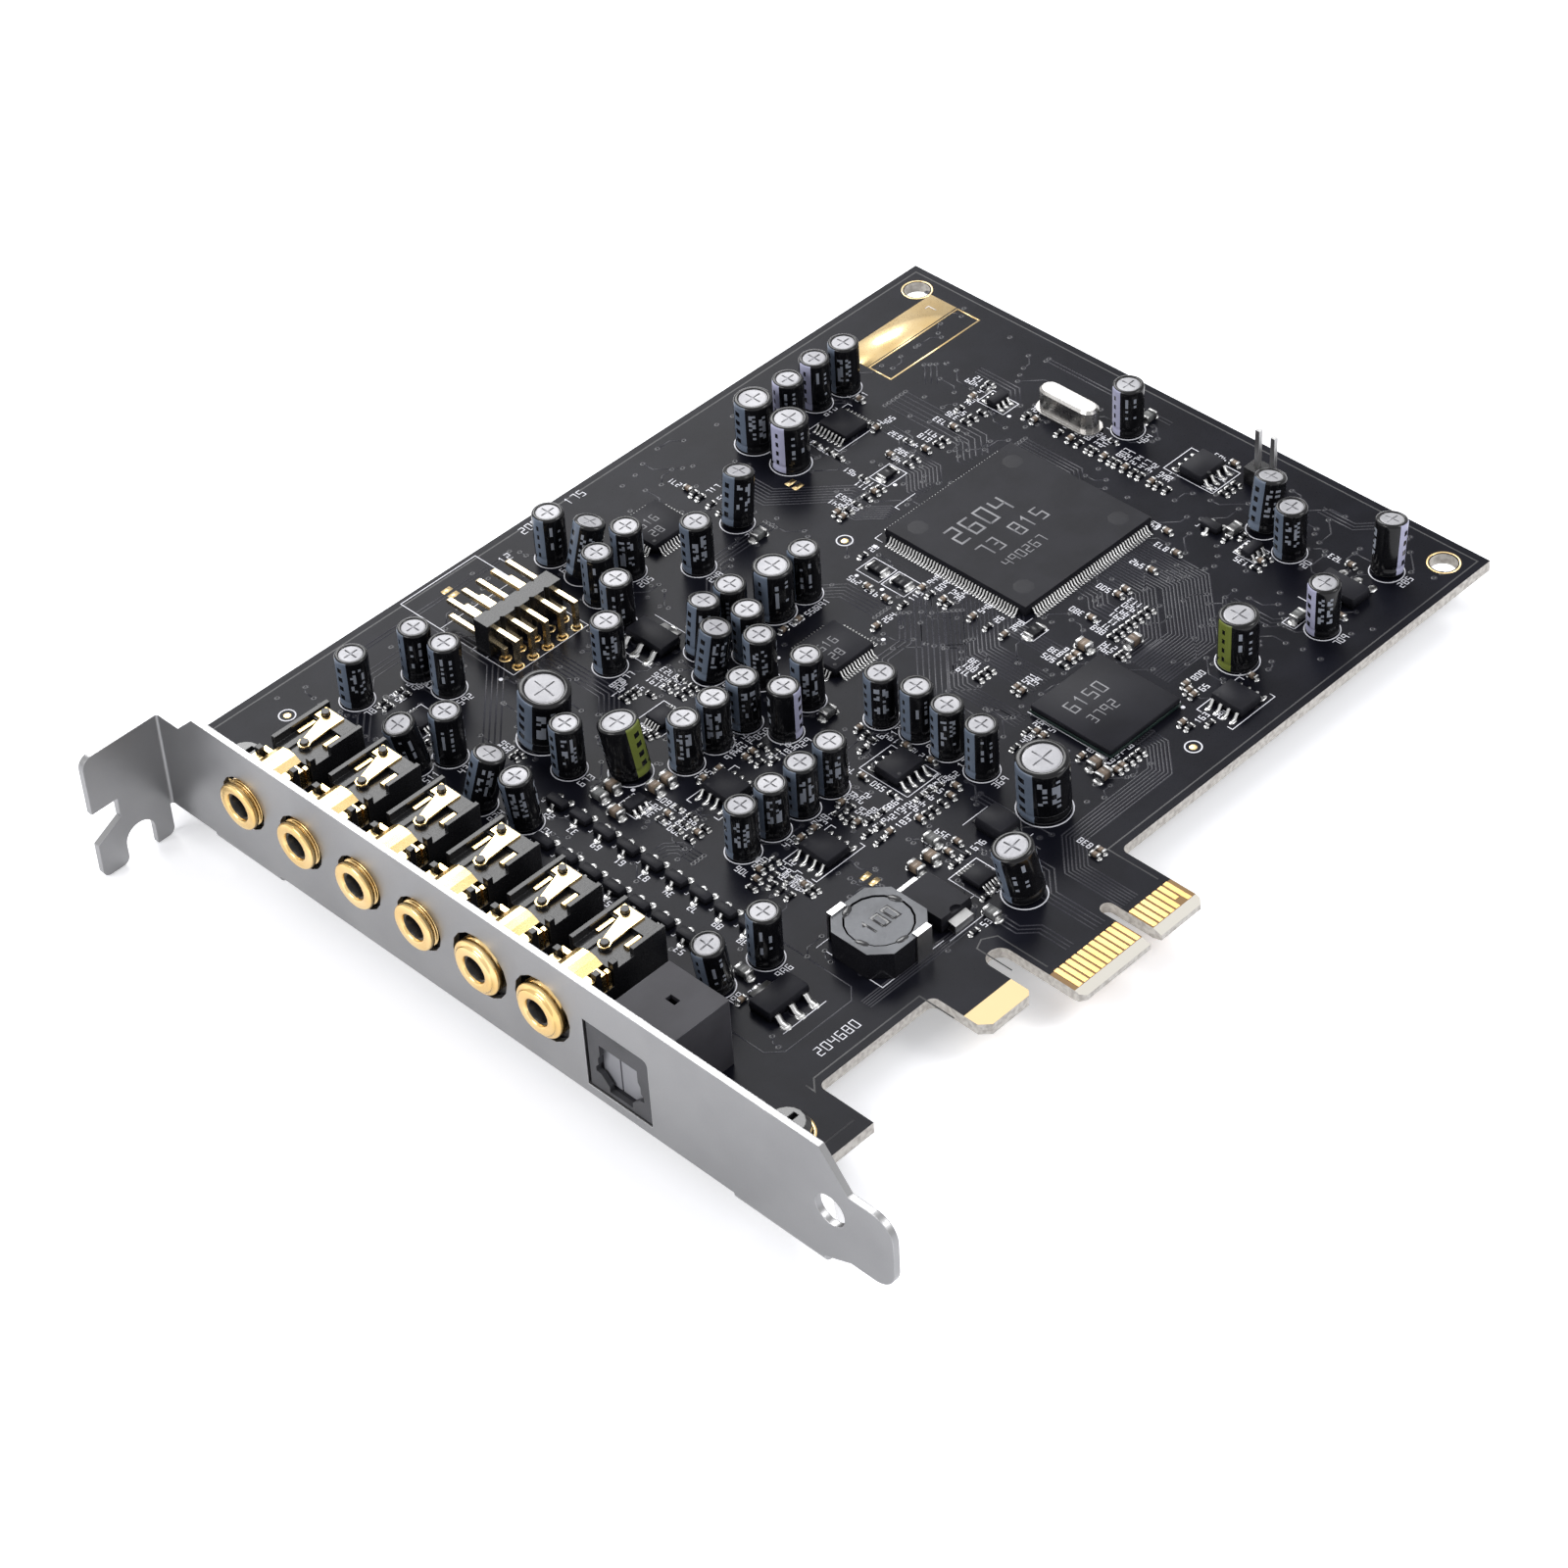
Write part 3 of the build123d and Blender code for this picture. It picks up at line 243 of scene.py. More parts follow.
def copies(shape, places):
    """One shape at many places, each x, y, z and a turn in degrees.

    Each point is turned about Z by its place's angle, then moved to its x, y and z."""
    points, *face_lists = shape
    places = np.asarray(places, float)
    angle = np.radians(places[:, 3])
    c, s = np.cos(angle)[:, None], np.sin(angle)[:, None]
    x = points[None, :, 0] * c - points[None, :, 1] * s + places[:, 0:1]
    y = points[None, :, 0] * s + points[None, :, 1] * c + places[:, 1:2]
    z = points[None, :, 2] + places[:, 2:3]
    shift = (np.arange(len(places)) * len(points))[:, None, None]
    moved = np.stack([x, y, z], -1).reshape(-1, 3)
    return moved, *[(faces[None] + shift).reshape(-1, faces.shape[1]) for faces in face_lists]


def flat_places(spots):
    """Spots of x and y as places, with no height and no turn."""
    spots = np.asarray(spots, float)[:, :2]
    return np.column_stack([spots, np.zeros((len(spots), 2))])


def gather(shapes):
    """Many shapes put together as one, with the faces of each corner count in one array."""
    starts = np.cumsum([0] + [len(shape[0]) for shape in shapes])
    merged = [np.vstack([shape[0] for shape in shapes])]
    for kind in range(1, len(shapes[0])):
        merged.append(np.vstack([shape[kind] + start for shape, start in zip(shapes, starts)]))
    return merged


print("a ring of six has", len(turned_profile([(1, 0), (1, 1)], 6)[1]), "faces")

# %% [markdown]
# ## Floor
# The floor is one wide sheet just under the card's lowest point. It is a grid whose height is the
# same everywhere, so it takes only the soft shadow of the card.

# %% Floor
floor_gap, floor_half, floor_rows = 0.0002, 3.0, 13
floor_height = cad_box[0].z - floor_gap
span = np.linspace(-floor_half, floor_half, floor_rows)
fx, fy = np.meshgrid(span, span, indexing="ij")
floor_points = np.stack([fx, fy, np.full_like(fx, floor_height)], -1).reshape(-1, 3)
floor_mesh = build_mesh("floor", floor_points, grid_faces(floor_rows, floor_rows)[:, ::-1])
floor_paint = bpy.data.materials.new("white_floor")
floor_paint.use_nodes = True
tree = floor_paint.node_tree
tree.nodes.clear()
matt = add_node(tree, "ShaderNodeBsdfDiffuse", {"Color": (0.86, 0.86, 0.87, 1)})
glow = add_node(tree, "ShaderNodeEmission", {"Strength": 0.42})
both = add_node(tree, "ShaderNodeAddShader")
direct = add_node(tree, "ShaderNodeMixShader")
floor_out = add_node(tree, "ShaderNodeOutputMaterial")
join(tree, (matt.outputs[0], both.inputs[0]), (glow.outputs[0], both.inputs[1]),
     (seen_directly(tree), direct.inputs[0]), (matt.outputs[0], direct.inputs[1]),
     (both.outputs[0], direct.inputs[2]), (direct.outputs[0], floor_out.inputs[0]))
floor = add_piece("floor", floor_mesh, floor_paint)
print("floor at", round(floor_height / mm, 2), "mm")

# %% [markdown]
# ## Surface group
# Nearly every finish here is one base colour with faint clouds, a fine grain and edges made a little
# lighter, partly as rubbed wear and partly as a painted highlight. The group holds that once: clouds
# mix two colours, grain moves the roughness and the height, and the edge mask compares the true normal
# with one rounded over a small radius.

# %% Surface group
def make_group(name, inputs, outputs):
    """An empty node group, the values it is given and the sockets it puts out."""
    made = bpy.data.node_groups.new(name, "ShaderNodeTree")
    for socket, kind, value in inputs:
        new = made.interface.new_socket(name=socket, in_out="INPUT", socket_type=kind)
        if value is not None:
            new.default_value = value
    for socket, kind in outputs:
        made.interface.new_socket(name=socket, in_out="OUTPUT", socket_type=kind)
    return made, add_node(made, "NodeGroupInput").outputs, add_node(made, "NodeGroupOutput").inputs


FLOAT, COLOUR, VECTOR = "NodeSocketFloat", "NodeSocketColor", "NodeSocketVector"
surface, given, gives = make_group(
    "surface",
    [("Vector", VECTOR, None), ("Color", COLOUR, (0.5, 0.5, 0.5, 1)),
     ("Cloud Color", COLOUR, (0.5, 0.5, 0.5, 1)), ("Edge Color", COLOUR, (0.8, 0.8, 0.8, 1)),
     ("Cloud Scale", FLOAT, 200.0), ("Grain Scale", FLOAT, 4000.0), ("Roughness", FLOAT, 0.5),
     ("Roughness Spread", FLOAT, 0.1), ("Bump", FLOAT, 0.00001), ("Edge Width", FLOAT, 0.0001),
     ("Edge Wear And Highlight", FLOAT, 0.3)],
    [("Color", COLOUR), ("Roughness", FLOAT), ("Normal", VECTOR)])
clouds = add_node(surface, "ShaderNodeTexNoise", {"Detail": 3.0})
grain = add_node(surface, "ShaderNodeTexNoise", {"Detail": 2.0})
cloudy = add_node(surface, "ShaderNodeMapRange", {"From Min": 0.35, "From Max": 0.65},
                  interpolation_type="SMOOTHSTEP")
base_mix = add_node(surface, "ShaderNodeMix", data_type="RGBA")
rounded = add_node(surface, "ShaderNodeBevel", samples=4)
true_normal = add_node(surface, "ShaderNodeNewGeometry")
alike = add_node(surface, "ShaderNodeVectorMath", operation="DOT_PRODUCT")
edge = add_node(surface, "ShaderNodeMapRange", {"From Min": 0.995, "From Max": 0.90})
edge_mix = add_node(surface, "ShaderNodeMix", data_type="RGBA")
relief = add_node(surface, "ShaderNodeBump")
# The edge colour goes on in cloudy patches along the edges: rubbed wear, and also a painted highlight.
rubbed_and_lit = combine(surface, "MULTIPLY", edge.outputs[0], given["Edge Wear And Highlight"])
patchy = combine(surface, "MULTIPLY", rubbed_and_lit, cloudy.outputs[0])
centred = combine(surface, "SUBTRACT", grain.outputs[0], 0.5)
rough = combine(surface, "MULTIPLY_ADD", centred, given["Roughness Spread"], given["Roughness"])
join(surface,
     (given["Vector"], clouds.inputs["Vector"]), (given["Cloud Scale"], clouds.inputs["Scale"]),
     (given["Vector"], grain.inputs["Vector"]), (given["Grain Scale"], grain.inputs["Scale"]),
     (clouds.outputs[0], cloudy.inputs[0]), (cloudy.outputs[0], base_mix.inputs["Factor"]),
     (given["Color"], base_mix.inputs[6]), (given["Cloud Color"], base_mix.inputs[7]),
     (given["Edge Width"], rounded.inputs["Radius"]), (rounded.outputs[0], alike.inputs[0]),
     (true_normal.outputs["Normal"], alike.inputs[1]), (alike.outputs["Value"], edge.inputs[0]),
     (patchy, edge_mix.inputs["Factor"]), (base_mix.outputs[2], edge_mix.inputs[6]),
     (given["Edge Color"], edge_mix.inputs[7]), (grain.outputs[0], relief.inputs["Height"]),
     (given["Bump"], relief.inputs["Distance"]), (rounded.outputs[0], relief.inputs["Normal"]),
     (edge_mix.outputs[2], gives["Color"]), (rough, gives["Roughness"]), (relief.outputs[0], gives["Normal"]))


def shade(value):
    """A colour of three numbers, or a grey from one, with its alpha."""
    return (*value, 1) if isinstance(value, tuple) else (value, value, value, 1)


def finish(name, colour, cloud, worn_and_lit=0.5, roughness=0.5, metallic=0.0, spread=0.15, clouds_per_m=180.0,
           grain_per_m=5000.0, bump=0.004, edge_mm=0.12, wear=0.25, specular=0.5):
    """A material that places the surface group with its own values, and its Principled shader."""
    made = bpy.data.materials.new(name)
    made.use_nodes = True
    tree = made.node_tree
    shader = tree.nodes["Principled BSDF"].inputs
    shader["Metallic"].default_value = metallic
    shader["Specular IOR Level"].default_value = specular
    place = add_node(tree, "ShaderNodeTexCoord")
    # The edge colour is rubbed wear and a painted highlight, laid on the edges.
    use = add_node(tree, "ShaderNodeGroup", {
        "Color": shade(colour), "Cloud Color": shade(cloud), "Edge Color": shade(worn_and_lit),
        "Cloud Scale": clouds_per_m, "Grain Scale": grain_per_m, "Roughness": roughness,
        "Roughness Spread": spread, "Bump": bump * mm, "Edge Width": edge_mm * mm, "Edge Wear And Highlight": wear,
    }, node_tree=surface)
    join(tree, (place.outputs["Object"], use.inputs["Vector"]), (use.outputs["Color"], shader["Base Color"]),
         (use.outputs["Roughness"], shader["Roughness"]), (use.outputs["Normal"], shader["Normal"]))
    return made


def metal(name, colour, cloud, worn_and_lit, roughness, **more):
    """A finish of bare or plated metal."""
    return finish(name, colour, cloud, worn_and_lit, roughness, 1.0, **more)


print("surface group:", len(surface.nodes), "nodes")

# %% [markdown]
# ## Finishes of the solids
# Each solid takes a finish with the values of its real material: nickel on steel, gold, tin, moulded
# plastic, chip compound, ferrite. They are made here once and put on the CAD nodes below.

# %% Finishes of the solids
steel = metal("nickelled_steel", (0.255, 0.255, 0.26), (0.29, 0.29, 0.295), (0.55, 0.55, 0.56), 0.36,
              spread=0.12, clouds_per_m=60, grain_per_m=3500, bump=0.0035, edge_mm=0.18, wear=0.7)
gold = metal("gold_plate", (0.78, 0.52, 0.20), (0.85, 0.62, 0.30), (1.0, 0.85, 0.55), 0.22,
             bump=0.001, edge_mm=0.06, wear=0.3)
contact_gold = metal("contact_gold", (0.60, 0.36, 0.14), (0.66, 0.42, 0.18), (0.8, 0.6, 0.3), 0.42,
                     spread=0.1, bump=0.001, edge_mm=0.04, wear=0.2)
bright_gold = metal("sprung_gold", (0.80, 0.56, 0.24), (0.86, 0.64, 0.32), (0.95, 0.8, 0.5), 0.28,
                    spread=0.2, bump=0.002, edge_mm=0.05, wear=0.3)
pale_gold = metal("pale_gold", (0.62, 0.50, 0.31), (0.70, 0.58, 0.38), (0.9, 0.8, 0.6), 0.28,
                  spread=0.2, bump=0.002, edge_mm=0.05, wear=0.3)
tin = metal("tinned_metal", 0.44, 0.54, 0.8, 0.32, spread=0.2, bump=0.002, edge_mm=0.05, wear=0.4)
crystal_steel = metal("brushed_can_steel", (0.36, 0.35, 0.34), (0.44, 0.43, 0.42), 0.7, 0.30,
                      spread=0.25, grain_per_m=2500, bump=0.003, wear=0.3)
black_oxide = finish("black_screw_steel", (0.02, 0.02, 0.022), 0.03, 0.3, 0.18, bump=0.002,
                     edge_mm=0.15, wear=0.3)
black_plastic = finish("black_moulding", (0.007, 0.007, 0.008), (0.011, 0.011, 0.012),
                       (0.16, 0.16, 0.17), 0.30, spread=0.2, edge_mm=0.10, wear=0.5, specular=0.3)
socket_plastic = finish("dark_grey_moulding", (0.026, 0.025, 0.030), (0.034, 0.033, 0.039),
                        (0.22, 0.22, 0.24), 0.62, spread=0.2, grain_per_m=9000, bump=0.010,
                        edge_mm=0.15, wear=0.5, specular=0.35)
frame_plastic = finish("grey_frame_moulding", (0.040, 0.040, 0.043), (0.055, 0.055, 0.06),
                       (0.25, 0.25, 0.26), 0.5, edge_mm=0.10, wear=0.5, specular=0.35)
shutter_plastic = finish("grey_flap_moulding", (0.24, 0.24, 0.255), (0.28, 0.28, 0.295), 0.5, 0.45,
                         bump=0.003, edge_mm=0.08, wear=0.4)
compound = finish("chip_compound", (0.010, 0.010, 0.013), (0.014, 0.014, 0.018), (0.13, 0.13, 0.14),
                  0.48, spread=0.2, grain_per_m=9000, bump=0.006, edge_mm=0.08, wear=0.45, specular=0.10)
laminate = finish("carrier_laminate", (0.010, 0.024, 0.021), (0.015, 0.032, 0.027), (0.30, 0.33, 0.29),
                  0.35, bump=0.002, edge_mm=0.05, wear=0.3, specular=0.3)
ferrite = finish("grey_ferrite", (0.075, 0.078, 0.085), (0.12, 0.125, 0.135), (0.35, 0.35, 0.36),
                 0.42, spread=0.3, grain_per_m=3000, bump=0.02, edge_mm=0.15, wear=0.6, specular=0.3)
ceramic = finish("tan_ceramic", (0.30, 0.21, 0.14), (0.36, 0.26, 0.18), (0.7, 0.7, 0.68), 0.4,
                 edge_mm=0.1, wear=0.3)
sleeve = finish("can_sleeve", (0.004, 0.004, 0.005), (0.007, 0.007, 0.008), 0.2, 0.14, bump=0.001,
                edge_mm=0.1, wear=0.2, specular=0.28)
black_resist = finish("black_board", (0.0050, 0.0052, 0.0085), (0.0075, 0.0078, 0.012), 0.3, 0.3,
                      bump=0.002, edge_mm=0.05, wear=0.2, specular=0.055)
sockets = range(1, 7)
dressed = (
    (black_resist, "circuit_board"), (contact_gold, "edge_contacts"), (steel, "bracket"),
    (black_oxide, "bracket_screws"), (socket_plastic, "optical_housing"),
    (frame_plastic, "optical_frame"), (shutter_plastic, "optical_shutter"),
    (pale_gold, "front_header_pins"), (laminate, "bridge_chip_carrier"),
    (ferrite, "inductor_shell inductor_core"), (crystal_steel, "crystal_can"),
    (black_plastic, "optical_emitter front_header_base jumper_header_base"),
    (black_plastic, " ".join(f"jack_body_{k}" for k in sockets)),
    (gold, " ".join(f"jack_bushing_{k}" for k in sockets)),
    (bright_gold, " ".join(f"jack_springs_{k}" for k in sockets)),
    (compound, "main_chip bridge_chip_cover codec_chips small_chips regulators transistors power_diode"),
    (tin, "jumper_header_pins main_chip_leads bridge_chip_balls codec_chip_leads small_chip_leads"),
    (tin, "regulator_tabs transistor_leads diode_ends inductor_clips"),
    (sleeve, "signal_capacitors supply_capacitors medium_capacitors large_capacitors"),
    (ceramic, "ceramic_capacitors resistor_networks chip_inductors"),
)
looks = {node_name: paint for paint, names in dressed for node_name in names.split()}
for node_name, node in nodes.items():
    node.data.materials.clear()
    node.data.materials.append(looks[node_name])
print("dressed nodes:", len(looks))

# %% [markdown]
# ## The black board
# The real board is green-grey fibreglass under black lacquer. Its cut sides and the bare foot beside
# the connector show the fibreglass. A second material slot would need its own faces, so one material
# tells the places apart by the way a face points and by where it lies on the board.

# %% The black board
def insert_colour(material, mask, colour):
    """Lays another colour over what already feeds Base Color, where mask is 1."""
    tree = material.node_tree
    target = tree.nodes["Principled BSDF"].inputs["Base Color"]
    lay = add_node(tree, "ShaderNodeMix", {7: (*colour, 1)}, data_type="RGBA")
    join(tree, (mask, lay.inputs["Factor"]), (target.links[0].from_socket, lay.inputs[6]),
         (lay.outputs[2], target))
    return lay


def insert_roughness(material, mask, value):
    """Lays another value over what already feeds Roughness, where mask is 1."""
    tree = material.node_tree
    target = tree.nodes["Principled BSDF"].inputs["Roughness"]
    lay = add_node(tree, "ShaderNodeMix", {3: value}, data_type="FLOAT")
    join(tree, (target.links[0].from_socket, lay.inputs[2]), (mask, lay.inputs["Factor"]),
         (lay.outputs[0], target))


def true_facing(tree):
    """The upward part of the true normal: 1 on a level top, 0 on an upright side."""
    facing = add_node(tree, "ShaderNodeSeparateXYZ")
    join(tree, (add_node(tree, "ShaderNodeNewGeometry").outputs["True Normal"], facing.inputs[0]))
    return facing.outputs["Z"]


tree = black_resist.node_tree
place = add_node(tree, "ShaderNodeTexCoord")
apart = add_node(tree, "ShaderNodeSeparateXYZ")
join(tree, (place.outputs["Object"], apart.inputs[0]))


def corner_patch(x_over, y_under):
    """1 on the board beyond a line of x and below a line of y, in millimetres."""
    return combine(tree, "MULTIPLY", combine(tree, "GREATER_THAN", apart.outputs["X"], x_over * mm),
                   combine(tree, "LESS_THAN", apart.outputs["Y"], y_under * mm))


foot_end = combine(tree, "LESS_THAN", apart.outputs["X"], 44.0 * mm)
bare_foot = combine(tree, "MULTIPLY", corner_patch(35.0, 2.8), foot_end)
tongue, bare_tip = corner_patch(46.0, -0.05), corner_patch(46.0, -3.85)
insert_colour(black_resist, bare_foot, (0.79, 0.60, 0.32))
insert_colour(black_resist, tongue, (0.24, 0.15, 0.07))
insert_colour(black_resist, bare_tip, (0.62, 0.59, 0.52))
weave = add_node(tree, "ShaderNodeTexNoise", {"Scale": 1600.0, "Detail": 4.0})
fibres = add_node(tree, "ShaderNodeValToRGB")
dark_fibre, pale_fibre = fibres.color_ramp.elements
dark_fibre.color, dark_fibre.position = (0.46, 0.43, 0.39, 1), 0.35
pale_fibre.color, pale_fibre.position = (0.66, 0.63, 0.58, 1), 0.6
cut_side = combine(tree, "LESS_THAN", combine(tree, "ABSOLUTE", true_facing(tree)), 0.95)
side_lay = insert_colour(black_resist, cut_side, (0.6, 0.58, 0.55))
join(tree, (place.outputs["Object"], weave.inputs["Vector"]), (weave.outputs[0], fibres.inputs[0]),
     (fibres.outputs[0], side_lay.inputs[7]))
insert_roughness(black_resist, cut_side, 0.75)
# Painted shade: the ferrite's upright and downward faces get a near-black colour, darker than its top; they
# are also made glossier.
ferrite_side_shade = combine(ferrite.node_tree, "LESS_THAN", true_facing(ferrite.node_tree), 0.5)
insert_colour(ferrite, ferrite_side_shade, (0.010, 0.010, 0.012))
insert_roughness(ferrite, ferrite_side_shade, 0.16)
print("board finish: lacquer, cut sides, bare foot and tongue")

# %% [markdown]
# ## Copper tracks
# Under the lacquer run the copper tracks, which stand up a hair and shine a little lighter. They
# could be a texture, but a texture has no ends and no vias, so each is a thin ribbon. A bundle is one
# route, carried sideways as many times as it has tracks: at each corner the offset
# grows by 1 / cos(half the turn), so the tracks stay parallel.

# %% Track helpers
track_half, track_top_half, track_rise = 0.11, 0.07, 0.03


def offset_route(route, shift):
    """The route moved sideways by shift: each corner moves along the mean of its two normals."""
    route = np.asarray(route, float)
    along = np.diff(route, axis=0)
    along /= np.linalg.norm(along, axis=1)[:, None]
    side = np.stack([-along[:, 1], along[:, 0]], 1)
    first = np.vstack([side[:1], side])
    second = np.vstack([side, side[-1:]])
    mean = first + second
    mean /= (mean * first).sum(1)[:, None]
    return route + shift * mean


def ribbon(route, half=track_half, top_half=track_top_half, rise=track_rise, low=0.0):
    """A ribbon along the route: at each point four corners, base and top, left and right."""
    corners = [offset_route(route, shift) for shift in (half, top_half, -top_half, -half)]
    heights = [low, low + rise, low + rise, low]
    rings = np.stack([np.column_stack([c, np.full(len(c), h)]) for c, h in zip(corners, heights)], 1)
    faces = grid_faces(len(rings), 4)
    ends = np.array([[3, 2, 1, 0], np.array([0, 1, 2, 3]) + 4 * (len(rings) - 1)])
    return rings.reshape(-1, 3), np.vstack([faces, ends])


print("a track of two points has", len(ribbon([(0, 0), (1, 0)])[1]), "faces")

# %% [markdown]
# ## Routes of the tracks
# A bundle holds its count, its spacing to the left of the way it runs and the route of its first
# track, drawn along the bundles that show on the board. Between them lie short tracks with one bend.
# They are drawn at random, by the same draw each time, until the board looks as full as the real one.

# %% Routes of the tracks
short_tracks = 330
bundles = [
    (14, -0.46, [(94.3, 28.8), (101.5, 28.8), (107.6, 34.9), (107.6, 43.2)]),
    (8, -0.50, [(94.3, 32.0), (98.4, 32.0), (103.6, 37.2), (103.6, 43.2)]),
    (9, -0.52, [(81.8, 34.0), (81.8, 44.6), (90.4, 53.2)]),
    (6, 0.72, [(72.3, 38.6), (76.6, 42.9), (89.2, 55.5)]),
    (5, -0.55, [(76.0, 31.2), (76.0, 42.0), (86.5, 52.5)]),
    (7, 0.46, [(63.4, 1.0), (63.4, 8.6), (66.4, 11.6), (82.0, 11.6), (86.2, 15.8), (86.2, 18.4)]),
    (10, -0.50, [(101.0, 70.6), (101.0, 72.4), (103.4, 74.8), (103.4, 77.6)]),
    (6, -0.80, [(110.0, 70.6), (110.0, 71.8), (112.6, 74.4), (112.6, 87.2)]),
    (7, 0.42, [(97.5, 70.6), (97.5, 72.0), (94.8, 74.7), (94.8, 76.4)]),
    (7, 0.55, [(86.8, 92.6), (86.8, 84.6), (94.4, 77.0), (94.4, 76.2)]),
    (5, 0.62, [(75.4, 66.4), (77.8, 66.4), (79.9, 64.3), (79.9, 58.2)]),
    (5, 0.62, [(46.6, 84.0), (46.6, 73.4), (44.2, 71.0)]),
    (4, 0.70, [(41.6, 95.4), (41.6, 88.2), (27.0, 73.6)]),
    (4, -0.60, [(31.4, 48.6), (33.2, 48.6), (34.9, 46.9), (34.9, 43.4)]),
    (5, 0.36, [(29.6, 11.6), (47.4, 11.6), (49.6, 13.8)]),
    (1, 0.50, [(16.5, 25.0), (16.5, 15.6), (18.2, 13.9), (29.0, 13.9), (30.6, 15.5), (30.6, 27.0)]),
    (2, 0.60, [(134.4, 56.0), (134.4, 77.6)]),
    (3, 0.60, [(125.8, 83.2), (125.8, 76.8), (123.4, 74.4)]),
    (4, 0.62, [(57.6, 1.0), (57.6, 8.4), (60.4, 11.2), (60.4, 14.6)]),
    (3, 0.60, [(52.4, 1.2), (52.4, 6.0), (50.6, 7.8), (50.6, 10.2)]),
    (3, -0.80, [(119.6, 86.4), (122.6, 89.4)]),
    (3, 0.70, [(110.6, 27.0), (110.6, 20.2), (112.0, 18.8)]),
    (6, 0.55, [(117.8, 57.0), (119.4, 58.6), (119.4, 68.4)]),
    (5, 0.60, [(100.2, 44.6), (100.2, 40.8), (98.6, 39.2), (98.6, 35.2)]),
    (6, 0.50, [(91.2, 47.0), (88.4, 44.2), (88.4, 36.2)]),
    (4, -0.60, [(84.8, 55.6), (87.0, 57.8), (91.0, 57.8)]),
    (3, 0.80, [(22.2, 88.6), (30.6, 97.0), (40.4, 97.0)]),
    (3, -0.70, [(70.4, 48.8), (74.4, 52.8), (78.6, 52.8), (82.4, 56.6)]),
    (2, 0.55, [(28.6, 101.9), (58.0, 101.9)]),
    (4, 0.60, [(108.2, 84.0), (108.2, 80.6), (106.4, 78.8)]),
    (3, 0.60, [(132.2, 30.0), (132.2, 24.4), (134.6, 22.0), (134.6, 18.0)]),
    (3, 0.60, [(61.8, 14.6), (61.8, 17.4), (64.4, 20.0), (64.4, 26.4)]),
    (4, 0.60, [(69.2, 74.8), (74.6, 80.2), (84.6, 80.2)]),
]
routes = [offset_route(route, spacing * k) for count, spacing, route in bundles for k in range(count)]
drawn = len(routes)
eighth = np.array([[1, 0], [1, 1], [0, 1], [-1, 1], [-1, 0], [-1, -1], [0, -1], [1, -1]], float)
for _ in range(short_tracks):
    start = rng.uniform((18.5, 13.5), (134.5, 103.0))
    turn = rng.integers(0, 8)
    corner = start + eighth[turn] * rng.uniform(0.6, 2.6)
    end = corner + eighth[(turn + rng.choice([-1, 1])) % 8] * rng.uniform(0.5, 2.8)
    if 18.0 < end[0] < 136 and 12.0 < end[1] < 104.0 and 18.0 < corner[0] < 136:
        routes.append(np.array([start, corner, end]))
copper_paint = finish("lacquered_copper", (0.022, 0.022, 0.029), (0.034, 0.034, 0.042), 0.2, 0.28,
                      bump=0.001, edge_mm=0.03, wear=0.1, specular=0.2)
card_piece("copper_tracks", gather([ribbon(route) for route in routes]), copper_paint)
print("tracks:", drawn, "drawn and", len(routes) - drawn, "short ones")

# %% [markdown]
# ## Vias and the inset line
# Where a track changes sides, a plated hole goes through the board: a low ring round a disc of painted shade.
# Along every edge of the board, a routed line runs about a millimetre inside it. The ring is a small
# turned shape repeated by one array sum.

# %% Vias and the inset line
via_steps, loose_vias = 10, 260
board_low = 7.6                   # the board's lower edge on either side of the connector
via_profile = [(0.14, 0.004), (0.19, 0.035), (0.30, 0.035), (0.42, 0.0)]
ring_points, ring_faces = turned_profile(via_profile, via_steps)
via_shape = (ring_points, ring_faces[:, ::-1], np.arange(via_steps)[None])
spots = [route[-1] for route in routes] + [route[0] for route in routes[drawn:]]
spots = np.array(spots + list(rng.uniform((18.5, 10.0), (136.0, 103.5), (loose_vias, 2))))
over_connector = (spots[:, 0] > 48.5) & (spots[:, 0] < 66.5)
via_places = flat_places(spots[(spots[:, 1] > board_low + 1.5) | over_connector])
via_paint = finish("via_lacquer", (0.020, 0.020, 0.026), (0.028, 0.028, 0.035), 0.3, 0.25,
                   bump=0.001, edge_mm=0.03, wear=0.1, specular=0.2)
# Painted shade: the hole is a flat disc in near-black, standing for the shade inside it.
via_hole_shade = finish("via_hole_shade", (0.004, 0.004, 0.005), 0.006, roughness=0.6)
via_rings = copies(via_shape, via_places)
via_slots = np.repeat([0, 1], [len(via_rings[1]), len(via_rings[2])])
paint_faces(card_piece("via_rings", via_rings, via_paint), [via_hole_shade], via_slots)
edge_routes = [
    [(16.0, 8.6), (16.0, 7.2), (17.4, 8.7), (34.6, 8.7), (34.6, 3.4)],
    [(44.6, 3.6), (44.6, 9.0), (46.0, 9.6), (47.7, 8.6), (47.7, 1.0)],
    [(67.0, 1.0), (67.0, 8.7), (137.5, 8.7), (137.5, 104.8), (2.8, 104.8), (2.8, 1.0), (15.8, 1.0)],
]
edge_paint = finish("inset_groove", (0.010, 0.010, 0.012), (0.014, 0.014, 0.016), bump=0.001)
edge_lines = gather([ribbon(route, 0.10, 0.05, 0.012) for route in edge_routes])
card_piece("inset_line", edge_lines, edge_paint)
print("vias:", len(via_places))

# %% [markdown]
# ## Small chip parts
# Two hundred chip resistors and capacitors lie between the larger parts: a ceramic block with tinned
# ends that wrap it. One block is a row of rounded cross-sections carried along its length, a little
# thicker at the ends. Its faces take one of two materials, body or tin, by where they lie.

# %% Shape of a chip part
pad_rise = 0.03


